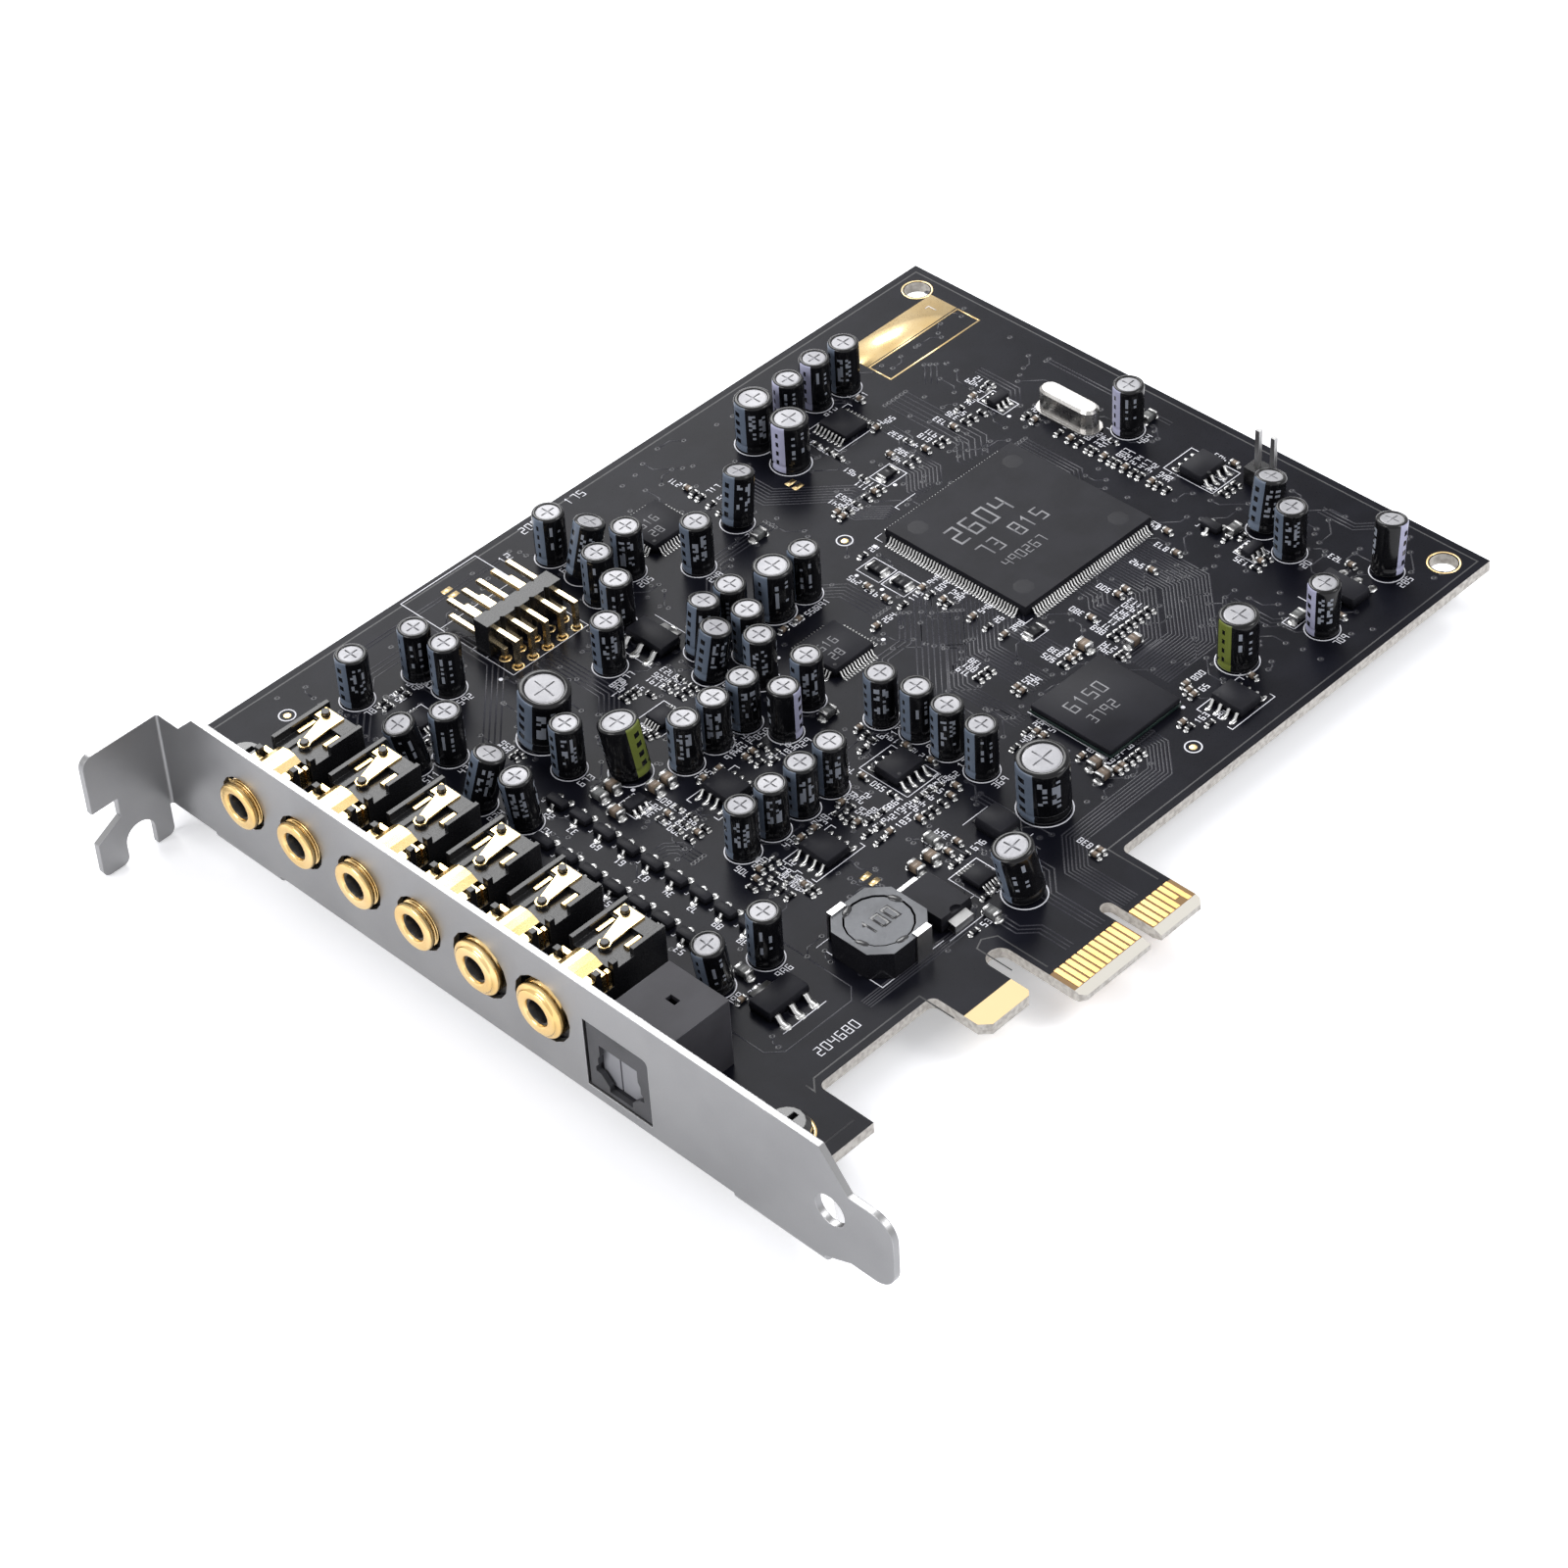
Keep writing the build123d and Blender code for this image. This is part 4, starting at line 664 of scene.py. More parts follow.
def chip_shape(length, width, height, cap):
    """Cross-sections with cut corners carried along X: thicker over the end caps by 0.02."""
    end, lip, cut = 0.5 * length, 0.04, 0.07
    stations = np.array([-end, -end + lip, -end + cap, -end + cap, end - cap, end - cap, end - lip, end])
    swell = np.array([-0.05, 0.0, 0.0, -0.03, -0.03, 0.0, 0.0, -0.05])
    w, h = width / 2, height
    ring = np.array([(-w, cut), (-w + cut, 0), (w - cut, 0), (w, cut), (w, h - cut), (w - cut, h),
                     (-w + cut, h), (-w, h - cut)])
    middle = np.array([0, h / 2])
    scale = 1 + 2 * swell[:, None, None] / np.array([width, height])
    section = (ring - middle)[None] * scale + middle
    points = np.concatenate([np.broadcast_to(stations[:, None, None], (8, 8, 1)), section], -1).reshape(-1, 3)
    sides = grid_faces(8, 8, wrap=True)
    spans = len(stations) - 1
    ends = np.array([np.arange(8)[::-1], np.arange(8) + 8 * spans])
    metal = np.arange(spans) != spans // 2
    return points, sides, ends, np.repeat(metal, 8)


def chip_piece(name, size, places, body_paint):
    """Many chip parts of one kind as one mesh with two materials."""
    places = np.asarray(places, float)
    *shape, metal_sides = chip_shape(*size)
    placed = np.column_stack([places[:, :2], np.full(len(places), pad_rise), places[:, 2]])
    blocks = copies(shape, placed)
    made = card_piece(name, blocks, body_paint)
    metal_ends = np.ones(len(blocks[2]), bool)
    paint_faces(made, [tin], np.concatenate([np.tile(metal_sides, len(places)), metal_ends]))
    return made


print("a chip part has", len(chip_shape(1.3, 0.7, 0.6, 0.3)[0]), "points")

# %% [markdown]
# ## Places of the chip parts
# Small parts stand beside the pins they serve, in short rows, so no formula gives their places. Each
# list holds x, y in millimetres, read off the board's plan: parts that lie along Y, then along X.

# %% Places of the chip parts
def laid(along_y, along_x):
    """Places with their turn: 90 degrees for the first list, 0 for the second."""
    return [(x, y, 90.0) for x, y in along_y] + [(x, y, 0.0) for x, y in along_x]


capacitors = laid([
    (37.1, 51.6), (37.1, 46.7), (50.4, 51.7), (51.7, 51.8), (37.4, 36.7), (36, 35.8), (39, 31), (56.2, 28.6),
    (61.6, 28.6), (63.3, 29.3), (54.2, 22.2), (56.2, 22.6), (57.2, 38.8), (64.7, 38.7), (64.7, 34.6),
    (98.1, 75.4), (109, 76.5), (114.9, 77), (105.1, 79.2), (78, 16.8), (79, 16.8), (65.1, 9), (66.1, 9),
    (97.3, 37.7), (102.9, 38.1), (104.3, 38.1), (109.3, 38.1), (113.9, 38), (116.5, 41.7), (89.7, 34.5),
    (90.8, 34.5), (83.5, 62.8), (83.3, 59.5), (132.8, 44.2), (111.2, 90.5), (101.8, 15.6), (117.8, 14.7),
    (126.4, 20), (119.6, 29), (82.7, 94.2),
], [
    (44.4, 36.9), (46.7, 36.9), (44.2, 53), (46.7, 52.8), (52.1, 37.6), (50.8, 33.8), (52.1, 29.8),
    (91.8, 76.2), (91.6, 75), (87.7, 57.6), (87.7, 54), (87.7, 49), (87.7, 43.7), (78.5, 56.8), (70.4, 65),
    (73.1, 65), (81.3, 35.9), (81.2, 34.9), (76.8, 28.6), (76.7, 27.5), (95.3, 20.8), (94.6, 19.8),
    (94.4, 18.8), (89.6, 16.5), (121.3, 79.6), (108, 84.6), (122.9, 70), (122.9, 63.8), (122.9, 58),
    (122.9, 54.4), (122.9, 49.9), (63.2, 45.2), (20.6, 23.2), (77, 21.6),
])
resistors = laid([
    (35.8, 51.6), (38.6, 51.5), (36, 49), (37.2, 49), (38.7, 49.2), (35.7, 46.7), (38.3, 46.6), (53.2, 51.6),
    (34.6, 35.3), (38.6, 36.6), (39.8, 36.5), (38.4, 29.6), (39.4, 29.6), (50.3, 36.5), (57.4, 28.5),
    (58.6, 28.5), (60.1, 28.5), (48.2, 70.6), (49.3, 70.6), (50.2, 70.6), (51, 68.8), (53, 68), (54.1, 68),
    (55.5, 68), (53.2, 65.8), (54.4, 65.8), (55.5, 65.8), (93.2, 75.4), (94.7, 75.4), (96.6, 75.4),
    (99.2, 75.4), (99.3, 78.5), (105.2, 76.1), (106.7, 76.3), (108.8, 79.4), (110.9, 76.1), (112.2, 76.1),
    (116.8, 76.6), (118.1, 76.5), (119.7, 76.3), (123.9, 79.5), (125, 79.7), (79.5, 40.5), (80.6, 40.5),
    (81.7, 40.5), (80.2, 16.8), (81.3, 16.8), (82.4, 16.8), (94, 30.2), (94.9, 30.2), (88.3, 34.4),
    (127.2, 41.3), (128.4, 41.3), (129.7, 41.3), (126.3, 59.2), (120.8, 28.8), (118.2, 28.6), (57.3, 34),
    (31.9, 72.9), (32.9, 72.9), (45.3, 63.6), (46.2, 63.3), (100.4, 88), (100.5, 85.8), (100.4, 84),
    (26.9, 82.6), *[(96.3 + 1.17 * k, 33.3) for k in range(7)],
], [
    (50.8, 49.9), (53.3, 49.9), (52.2, 48.9), (37.8, 34.8), (36.5, 33.9), (36.5, 32.5), (36.5, 31),
    (38.4, 33), (52.1, 36.2), (50.6, 34.9), (52, 33), (50.2, 31.6), (52.1, 31.4), (50.2, 29.6), (54, 32.9),
    (59, 31.3), (60.5, 31.2), (61.9, 30.9), (53.2, 20.4), (55.1, 20.5), (51.5, 13.9), (53.5, 14), (46.3, 11),
    (28, 91.5), (28, 92.6), (30.9, 91.5), (30.9, 92.6), (87.6, 67.7), (83.8, 57.2), (87.5, 56), (87.5, 52.9),
    (87.6, 46.3), (82.5, 93), (82.5, 91.8), (82.4, 89.7), (82.2, 87.7), (62.9, 43.8), (62.5, 42.5),
    (60.8, 42.3), (73, 28.7), (76.2, 29.6), (89.6, 15.4), (91.8, 14), (118.3, 79.2), (120.3, 35.2),
    (122, 33.9),
    *[(122.9, y) for y in (71.5, 65.8, 62.3, 60.6, 59.7, 56.7, 55.8, 53, 51.8, 48.8, 47.3)],
])
ceramic_places = laid([(49.5, 23.0), (52.0, 23.0), (92.5, 34.7), (33.0, 56.3), (39.1, 55.9), (41.2, 55.9),
                       (35.9, 60.0)], [(97.1, 30.7), (77.0, 19.4), (76.1, 17.3)])
network_places = laid([(86.9, 64.4), (86.9, 60.2)], [(101.9, 76.8), (90.7, 41.3)])
coil_chip_places = laid([(49.7, 11.3), (54.3, 24.9), (33.8, 60.0), (23.9, 26.0)],
                        [(122.1, 35.4), (81.7, 80.4), (62.6, 49.8), (114.0, 18.5), (132.9, 58.9)])
resistor_body = finish("resistor_glaze", (0.007, 0.007, 0.009), (0.011, 0.011, 0.014), 0.4, 0.35,
                       bump=0.002, edge_mm=0.04, wear=0.3, specular=0.25)
small_ceramic = finish("small_tan_ceramic", (0.15, 0.11, 0.08), (0.22, 0.165, 0.12), (0.6, 0.6, 0.58),
                       0.4, bump=0.003, edge_mm=0.04, wear=0.2)
grey_bead = finish("grey_bead", 0.10, (0.16, 0.165, 0.16), 0.5, 0.45, edge_mm=0.06, wear=0.3)
chip_piece("chip_resistors", (1.25, 0.66, 0.38, 0.26), resistors, resistor_body)
chip_piece("chip_capacitors", (1.3, 0.70, 0.60, 0.30), capacitors, small_ceramic)
print("small chip parts:", len(resistors) + len(capacitors))

# %% [markdown]
# ## The larger ceramic parts
# The CAD holds the larger ceramic capacitors, networks and inductors as plain blocks. The same
# wrapped-end shape stands for them here. Their places and turns were read off the board's plan again,
# since those of the solids were a few millimetres out.

# %% Larger ceramic parts
ceramic_blocks = chip_piece("ceramic_blocks", (2.0, 1.3, 1.12, 0.45), ceramic_places, small_ceramic)
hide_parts("ceramic_capacitors")
network_blocks = chip_piece("network_blocks", (2.6, 1.5, 0.55, 0.3), network_places, resistor_body)
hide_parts("resistor_networks")
bead_blocks = chip_piece("bead_blocks", (2.0, 1.3, 1.07, 0.4), coil_chip_places, grey_bead)
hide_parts("chip_inductors")
print("larger parts:", len(ceramic_places) + len(network_places) + len(coil_chip_places))

# %% [markdown]
# ## Leaded chips
# A moulded chip has a body whose sides slope both ways from the level of its leads, and leads that
# bend down in an S to flat feet. The body is four rings of eight points. A lead is the S drawn as an
# outline and given its width. Rows of leads come from the count and the pitch of each side. The
# places of the smaller chips were read off the board's plan again, like those of the ceramic parts.

# %% Shapes of chips and leads
chip_low = 0.1


def body_shape(length, width, top):
    """Rings with cut corners: narrow below, widest at the leads, narrow above, with a rubbed top edge."""
    draft, cut, level = 0.14 * (top - chip_low) / 2, 0.12, (top + chip_low) / 2
    rings = []
    for z, inset in ((chip_low, draft), (level, 0.0), (top - 0.05, draft), (top, draft + 0.06)):
        x, y = length / 2 - inset, width / 2 - inset
        rings.append([(-x, -y + cut, z), (-x + cut, -y, z), (x - cut, -y, z), (x, -y + cut, z),
                      (x, y - cut, z), (x - cut, y, z), (-x + cut, y, z), (-x, y - cut, z)])
    caps = np.array([np.arange(8)[::-1], np.arange(8) + 24])
    return np.array(rings).reshape(-1, 3), grid_faces(4, 8, wrap=True), caps


def lead_shape(wide, reach, level, thick=0.15):
    """The S-shaped outline of a lead along +Y from the body's side, given a width along X."""
    half = thick / 2
    side = np.array([(-0.1, level + half), (0.22 * reach, level + half), (0.55 * reach, 1.7 * thick),
                     (reach, thick), (reach, 0.0), (0.48 * reach, 0.0), (0.12 * reach, level - half),
                     (-0.1, level - half)])
    ends = [np.column_stack([np.full(8, x), side]) for x in (-wide / 2, wide / 2)]
    caps = np.array([np.arange(8), np.arange(8)[::-1] + 8])
    return np.vstack(ends), grid_faces(2, 8, wrap=True)[:, ::-1], caps


def row_places(x, y, turn, count, pitch, out):
    """Where the leads of one side begin: the side's middle is out from x, y, its row along the side."""
    steps = pitch * (np.arange(count) - (count - 1) / 2)
    angle = math.radians(turn)
    px = x + steps * math.cos(angle) - out * math.sin(angle)
    py = y + steps * math.sin(angle) + out * math.cos(angle)
    return np.column_stack([px, py, np.zeros(count), np.full(count, float(turn))])


# Each kind: length along X, width along Y, top, and its sides: turn, count, pitch, wide and reach
all_round = [(turn, 12, 0.5, 0.22, 1.0) for turn in (0, 90, 180, 270)]
chip_kinds = {
    "eight": (4.9, 3.9, 1.5, [(0, 4, 1.27, 0.42, 1.05), (180, 4, 1.27, 0.42, 1.05)]),
    "sixteen": (5.0, 4.4, 1.0, [(0, 8, 0.65, 0.25, 1.0), (180, 8, 0.65, 0.25, 1.0)]),
    "ten": (3.0, 3.0, 0.9, [(0, 5, 0.5, 0.22, 0.95), (180, 5, 0.5, 0.22, 0.95)]),
    "six": (2.9, 1.6, 1.1, [(0, 3, 0.95, 0.4, 0.6), (180, 3, 0.95, 0.4, 0.6)]),
    "codec": (7.0, 7.0, 1.4, all_round),
    "main": (24.0, 24.0, 1.5, [(turn, 44, 0.5, 0.22, 1.0) for turn in (0, 90, 180, 270)]),
    "regulator": (3.5, 6.5, 1.6, [(90, 3, 2.3, 0.75, 1.7), (270, 1, 1.0, 3.0, 1.7)]),
    "diode": (3.6, 4.3, 2.0, [(0, 1, 1.0, 2.0, 1.0), (180, 1, 1.0, 2.0, 1.0)]),
    "transistor": (1.4, 2.9, 1.0, [(90, 1, 1.0, 0.45, 0.6), (270, 2, 1.9, 0.45, 0.6)]),
}
small_chip_places = [
    ("eight", 129.0, 46.5, 0), ("eight", 96.8, 14.1, 90), ("eight", 60.9, 36.3, 0), ("eight", 44.5, 33.1, 90),
    ("eight", 44.5, 49.2, 90), ("sixteen", 105.5, 88.1, 90), ("ten", 48.8, 64.5, 90), ("ten", 53.3, 16.6, 0),
    ("ten", 29.0, 86.4, 0), ("six", 35.5, 55.7, 0), ("six", 120.4, 31.1, 0), ("six", 122.8, 76.4, 0),
    ("diode", 61.0, 20.6, 0),
]
codec_places = [("codec", 71.6, 57.3, 0), ("codec", 74.0, 91.4, 0)]
main_x, main_y = 104.2, 56.1
main_place = [("main", main_x, main_y, 0)]
regulator_places = [("regulator", 58.3, 75.8, 0), ("regulator", 23.4, 19.9, 90),
                    ("regulator", 121.4, 17.6, 180)]
transistor_spots = [(29.6, 30.5 + 4.05 * k) for k in range(9)] + [(23.7, 34.85 + 4.05 * k) for k in range(7)]
transistor_spots.append((120.7, 38.0))
transistor_places = [("transistor", x, y, 0) for x, y in transistor_spots]


def chip_bodies(name, places, node):
    """The bodies of a list of chips as one piece."""
    bodies = [copies(body_shape(*chip_kinds[kind][:3]), [(x, y, 0, turn)]) for kind, x, y, turn in places]
    made = card_piece(name, gather(bodies), compound)
    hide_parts(node)


def lead_rows(places, share=0.0, kinds=chip_kinds):
    """Each row of leads of the chips: places moved out by a share of the reach, width, reach, top."""
    for kind, x, y, turn in places:
        length, width, top, sides = chip_kinds[kind]
        for side, count, pitch, wide, reach in sides if kind in kinds else ():
            out = (length if side % 180 else width) / 2 + share * reach
            yield row_places(x, y, turn + side, count, pitch, out), wide, reach, top


def chip_leads(name, places, node):
    """The leads of a list of chips as one piece, each row turned with its chip."""
    leads = [copies(lead_shape(wide, reach, (top + chip_low) / 2), row)
             for row, wide, reach, top in lead_rows(places)]
    made = card_piece(name, gather(leads), tin)
    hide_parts(node)


chip_bodies("moulded_small_chips", small_chip_places, "small_chips")
chip_leads("bent_small_leads", small_chip_places, "small_chip_leads")
chip_bodies("moulded_codec_chips", codec_places, "codec_chips")
chip_leads("bent_codec_leads", codec_places, "codec_chip_leads")
chip_leads("bent_main_leads", main_place, "main_chip_leads")
chip_bodies("moulded_regulators", regulator_places, "regulators")
chip_leads("bent_regulator_tabs", regulator_places, "regulator_tabs")
chip_bodies("moulded_transistors", transistor_places, "transistors")
chip_leads("bent_transistor_leads", transistor_places, "transistor_leads")
cover_shape = copies(body_shape(12.9, 12.9, 0.9), [(85.4, 25.1, 0.55, 0)])
cover = card_piece("moulded_cover", cover_shape, compound)
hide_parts("bridge_chip_cover")
leaded = small_chip_places + codec_places + main_place + regulator_places + transistor_places
print("leaded chips:", len(leaded))

# %% [markdown]
# ## Solder
# Every tinned end sits in a small fillet of solder on its pad. A fillet is a flat mound: a rounded
# rectangle that rises to a low top, wide at the board. Pads under the chips' leads are the same mound.
# The sockets and headers go through the board, so their joints are mounds on its underside.

# %% Solder
def mound(length, width, height):
    """Three rings of eight points: the outer on the board, the inner higher, and a flat top."""
    turn = np.radians(np.arange(8) * 45 + 22.5)
    cx, cy = np.cos(turn) / math.cos(math.pi / 8), np.sin(turn) / math.cos(math.pi / 8)
    rings = [np.stack([np.clip(cx, -0.92, 0.92) * length / 2 * k, np.clip(cy, -0.92, 0.92) * width / 2 * k,
                       np.full(8, z)], -1) for k, z in ((1.08, 0.0), (0.95, height * 0.6), (0.7, height))]
    return np.vstack(rings), grid_faces(3, 8, wrap=True), np.arange(8)[None] + 16


def beside(places, reach):
    """Points at both ends of each part, reach from its middle along its length."""
    places = np.asarray(places, float)
    turn = np.radians(places[:, 2])
    step = np.stack([np.cos(turn), np.sin(turn)], 1) * reach
    both = np.vstack([places[:, :2] + step, places[:, :2] - step])
    return np.column_stack([both, np.zeros(len(both)), np.tile(places[:, 2], 2)])


def solder_piece(name, size, places):
    """Mounds of one size at places of x, y, z and turn."""
    return card_piece(name, copies(mound(*size), places), solder, smooth=True)


def feet(places, kinds=chip_kinds):
    """The foot pads of the leads of chips of some kinds, near the end of each lead."""
    return np.vstack([row for row, *_ in lead_rows(places, foot_share, kinds)])


foot_share = 0.85                 # how far along a lead's reach its pad lies
solder = metal("solder", 0.40, 0.52, 0.75, 0.28, spread=0.25, bump=0.002, edge_mm=0.04, wear=0.2)
solder_piece("chip_part_solder", (0.60, 0.72, 0.09), beside(resistors + capacitors, 0.66))
solder_piece("bead_solder", (1.0, 1.4, 0.2), beside(coil_chip_places + ceramic_places, 1.05))
solder_piece("block_solder", (1.0, 1.7, 0.2), beside(network_places, 1.35))
solder_piece("wide_lead_solder", (0.62, 1.3, 0.08), feet(small_chip_places, ("eight", "six")))
fine_kinds = ("sixteen", "ten", "codec", "main")
solder_piece("fine_lead_solder", (0.30, 0.9, 0.05),
             feet(small_chip_places + codec_places + main_place, fine_kinds))
solder_piece("transistor_solder", (0.95, 1.1, 0.12), feet(transistor_places))
solder_piece("regulator_solder", (1.2, 1.6, 0.12), feet(regulator_places))
board_under = -1.57
first_jack, jack_pitch = 84.4, 10.22
jack_rows = [first_jack - jack_pitch * number for number in range(6)]
header_holes = [(44.0 + 2.5 * k, y) for k in range(5) for y in (85.1, 87.5)]
joints = [(x, y + side) for y in jack_rows for x in (3.4, 8.2, 12.6, 15.4) for side in (-2.8, 2.8)]
joints += header_holes + [(132.0, 37.3), (132.0, 39.8), (6.0, 18.2), (6.0, 25.0), (10.5, 21.6)]
points, quads, caps = copies(mound(1.5, 1.5, 0.6), flat_places(joints))
points[:, 2] = board_under - points[:, 2]
under_shape = (points, quads[:, ::-1], caps[:, ::-1])
card_piece("underside_joints", under_shape, solder, smooth=True)
print("joints on the underside:", len(joints))

# %% [markdown]
# ## Can capacitors
# A can is an aluminium cup, crimped near its foot and wrapped in shrunk black sleeve with one printed
# stripe. The sleeve stops in a lip round the bare top, which is scored with a cross. Each size is one
# profile turned round, so that the crimp, lip and top are real shapes. Stripe and top are picked out
# by the place of a face in the turned grid, and every can gets its own lean and stripe side.

# %% Can capacitors
can_steps = 36
stripe_half_turn, mark_half_turn = 27.0, 8
mark_turns = (50, 80, 150, 180, 230)
foot_rows, print_rows, lip_rows = 6, 16, 6     # rows of the profile below, on and above the straight part
top_slot, score_slot, mark_slot = 1, 5, 6
blue_grey, lavender, olive = 2, 3, 4


def can_shape(diameter, height, stripe_turn, stripe_slot):
    """The turned profile with its caps and a scored cross, and the slot of each face."""
    radius = diameter / 2
    straight = [(1.0, z) for z in np.linspace(1.45, height - 0.42, print_rows + 1)]
    profile = np.array([
        (0.80, 0.0), (0.97, 0.06), (1.0, 0.3), (1.0, 0.9), (0.95, 1.1), (0.95, 1.25), *straight,
        (0.99, height - 0.25), (0.95, height - 0.10), (0.88, height - 0.02), (0.80, height),
        (0.745, height - 0.05), (0.725, height - 0.14), (0.70, height - 0.14), (0.66, height - 0.08)])
    points, quads = turned_profile(profile * (radius, 1), can_steps)
    turn = np.linspace(0, 2 * np.pi, can_steps, endpoint=False)
    rows, columns = np.divmod(np.arange(len(quads)), can_steps)
    away = (np.degrees(turn + np.pi / can_steps)[columns] - stripe_turn + 180) % 360 - 180
    first, last = foot_rows, foot_rows + print_rows
    on_sleeve = (rows >= first) & (rows < last)
    stripe = (np.abs(away) < stripe_half_turn) & (rows >= 2) & (rows < last + 2)
    dash = stripe & on_sleeve & (np.abs(away) < mark_half_turn) & ((rows - first) % 4 < 2)
    slots = np.where(rows >= last + lip_rows, top_slot, np.where(stripe & ~dash, stripe_slot, 0))
    band = on_sleeve & (rows > first + 2) & (rows < last - 2)
    for start in mark_turns:
        line = band & (np.abs((away - start + 180) % 360 - 180) < mark_half_turn)
        slots = np.where(line & (rng.random(len(quads)) < 0.5), mark_slot, slots)
    caps = np.array([np.arange(can_steps)[::-1], np.arange(can_steps) + can_steps * (len(profile) - 1)])
    # The scored cross is a low ridge painted a darker metal: painted shade for the grooves of a real score.
    arm, level = 0.5 * radius, height - 0.09
    score = gather([ribbon([(-arm, 0), (arm, 0)], 0.12, 0.08, 0.03, level),
                    ribbon([(0, -arm), (0, arm)], 0.12, 0.08, 0.034, level)])
    quads = np.vstack([quads, score[1] + len(points)])
    slots = np.concatenate([slots, np.full(len(score[1]), score_slot), [0, top_slot]])
    return (np.vstack([points, score[0]]), quads, caps), slots


def leaning(points, diameter, height, lean_x, lean_y):
    """Tilts a can about its foot so that its top moves by the lean, resting on the rim of its foot."""
    lean = math.hypot(lean_x, lean_y)
    if not lean:
        return points
    sine = lean / height
    cosine = math.sqrt(1 - sine * sine)
    ax, ay = -lean_y / lean, lean_x / lean
    turned = np.array([
        (cosine + ax * ax * (1 - cosine), ax * ay * (1 - cosine), ay * sine),
        (ax * ay * (1 - cosine), cosine + ay * ay * (1 - cosine), -ax * sine),
        (-ay * sine, ax * sine, cosine)])
    return points @ turned.T + (0, 0, diameter / 2 * sine)


signal_cans = [
    (35, 66.5, 0, 0), (26.5, 95.5, 0, 0), (35, 93.5, 0, 0), (35.5, 88.5, 0, 0),
    (27, 79, 0, 0), (23, 81, -1.6, 0.2), (23.5, 70, 1.6, -1), (25, 63.5, -0.6, 0.4),
    (27.5, 26, 0, 0), (20.5, 27, -1.2, -0.2), (53.5, 40.5, 0, 0), (48.5, 40.5, 0, 0),
    (43.5, 40.5, 0, 0), (38.5, 40.5, 0, 0), (50, 56.5, 0, 0), (45, 56.5, 0, 0),
    (55, 56.5, 0, 0), (57, 51.5, 0, 0), (63, 53.5, 0, 0), (82, 84.5, 1.2, 0.4),
    (72.5, 82, 0, 0), (123.5, 27.5, 0, 0), (125, 33, 1.4, 0.2),
]
supply_cans = [
    (112, 94, 0, 0), (107, 94.5, 0, 0), (101.5, 94, 0, 0), (61.5, 97.5, 0, 0),
    (61.5, 92, 2, -0.2), (60, 87, 0, 0), (66, 88, 0, 0), (58, 81.5, 0, 0),
    (51.5, 76.5, 0, 0), (77.5, 68, 0, 0), (61, 70, 1, 0), (58.5, 66, 0.8, -0.8),
    (66.5, 70, 0, 0), (64.5, 65, 0, 0), (62, 60.5, 0, 0), (66.5, 44.5, 0, 0),
    (67.5, 39.5, 0, 0), (67.5, 34.5, 0, 0), (67.5, 29, 0, 0), (129.5, 59.5, 0, 0),
    (128.5, 16, 1, 0.4), (114.5, 15, 0, 0),
]
medium_cans = [(95.5, 94.5, 0, 0), (95.5, 88, 0, 0), (72.5, 68.5, 0, 0), (39.5, 60.5, -0.4, 1.2),
               (55, 11, -1.2, 0.8), (103, 19, 0, 0)]
large_cans = [(37, 73, -0.2, -1.2), (67.5, 19, -0.6, -0.2)]
left_turn, right_turn = 172.0, 285.0
stripe_places = (
    (lavender, left_turn, [(95.5, 88), (101.5, 94), (107, 94.5), (129.5, 59.5), (114.5, 15)]),
    (lavender, right_turn, [(57, 51.5), (128.5, 16)]),
    (olive, left_turn, [(103, 19)]),
    (olive, right_turn, [(39.5, 60.5)]),
)
special_stripes = {spot: (ink, turn) for ink, turn, spots in stripe_places for spot in spots}
can_top = metal("bare_can_top", (0.25, 0.25, 0.265), (0.32, 0.32, 0.335), 0.6, 0.58,
                spread=0.2, bump=0.002, edge_mm=0.08, wear=0.3)
# Painted shade: the scored cross takes this darker metal, standing for the shade in its grooves.
can_score_shade = metal("can_score_shade", (0.10, 0.10, 0.11), (0.13, 0.13, 0.14), 0.4, 0.35, bump=0.002,
                  edge_mm=0.04, wear=0.2)


def printed(name, colour):
    """Ink printed on the sleeve."""
    return finish(name, colour, tuple(c * 1.12 for c in colour), roughness=0.3, bump=0.001, edge_mm=0.05,
                  wear=0.1, specular=0.3)


can_paints = [can_top, printed("blue_grey_stripe", (0.13, 0.16, 0.21)),
              printed("lavender_stripe", (0.42, 0.42, 0.56)), printed("olive_stripe", (0.15, 0.18, 0.035)),
              can_score_shade, printed("sleeve_marks", (0.28, 0.30, 0.34))]


def can_piece(name, size, places, node):
    """All cans of one size as one mesh with seven materials."""
    shapes, slots, cap_slots = [], [], []
    for x, y, lean_x, lean_y in places:
        stripe, turn = special_stripes.get((x, y), (blue_grey, left_turn))
        (points, quads, caps), can_slots = can_shape(*size, turn + rng.uniform(-14, 14), stripe)
        shapes.append((leaning(points, *size, lean_x, lean_y) + (x, y, 0), quads, caps))
        slots.append(can_slots[:-2])
        cap_slots.append(can_slots[-2:])
    made = card_piece(name, gather(shapes), sleeve)
    paint_faces(made, can_paints, np.concatenate(slots + cap_slots))
    smooth = np.ones(len(made.data.polygons), bool)
    smooth[-len(places) * 2:] = False
    made.data.polygons.foreach_set("use_smooth", smooth)
    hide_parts(node)


can_piece("wrapped_signal_cans", (4.2, 7.5), signal_cans, "signal_capacitors")
can_piece("wrapped_supply_cans", (4.2, 7.5), supply_cans, "supply_capacitors")
can_piece("wrapped_medium_cans", (5.2, 7.5), medium_cans, "medium_capacitors")
can_piece("wrapped_large_cans", (6.6, 8.3), large_cans, "large_capacitors")
print("cans:", len(signal_cans + supply_cans + medium_cans + large_cans))

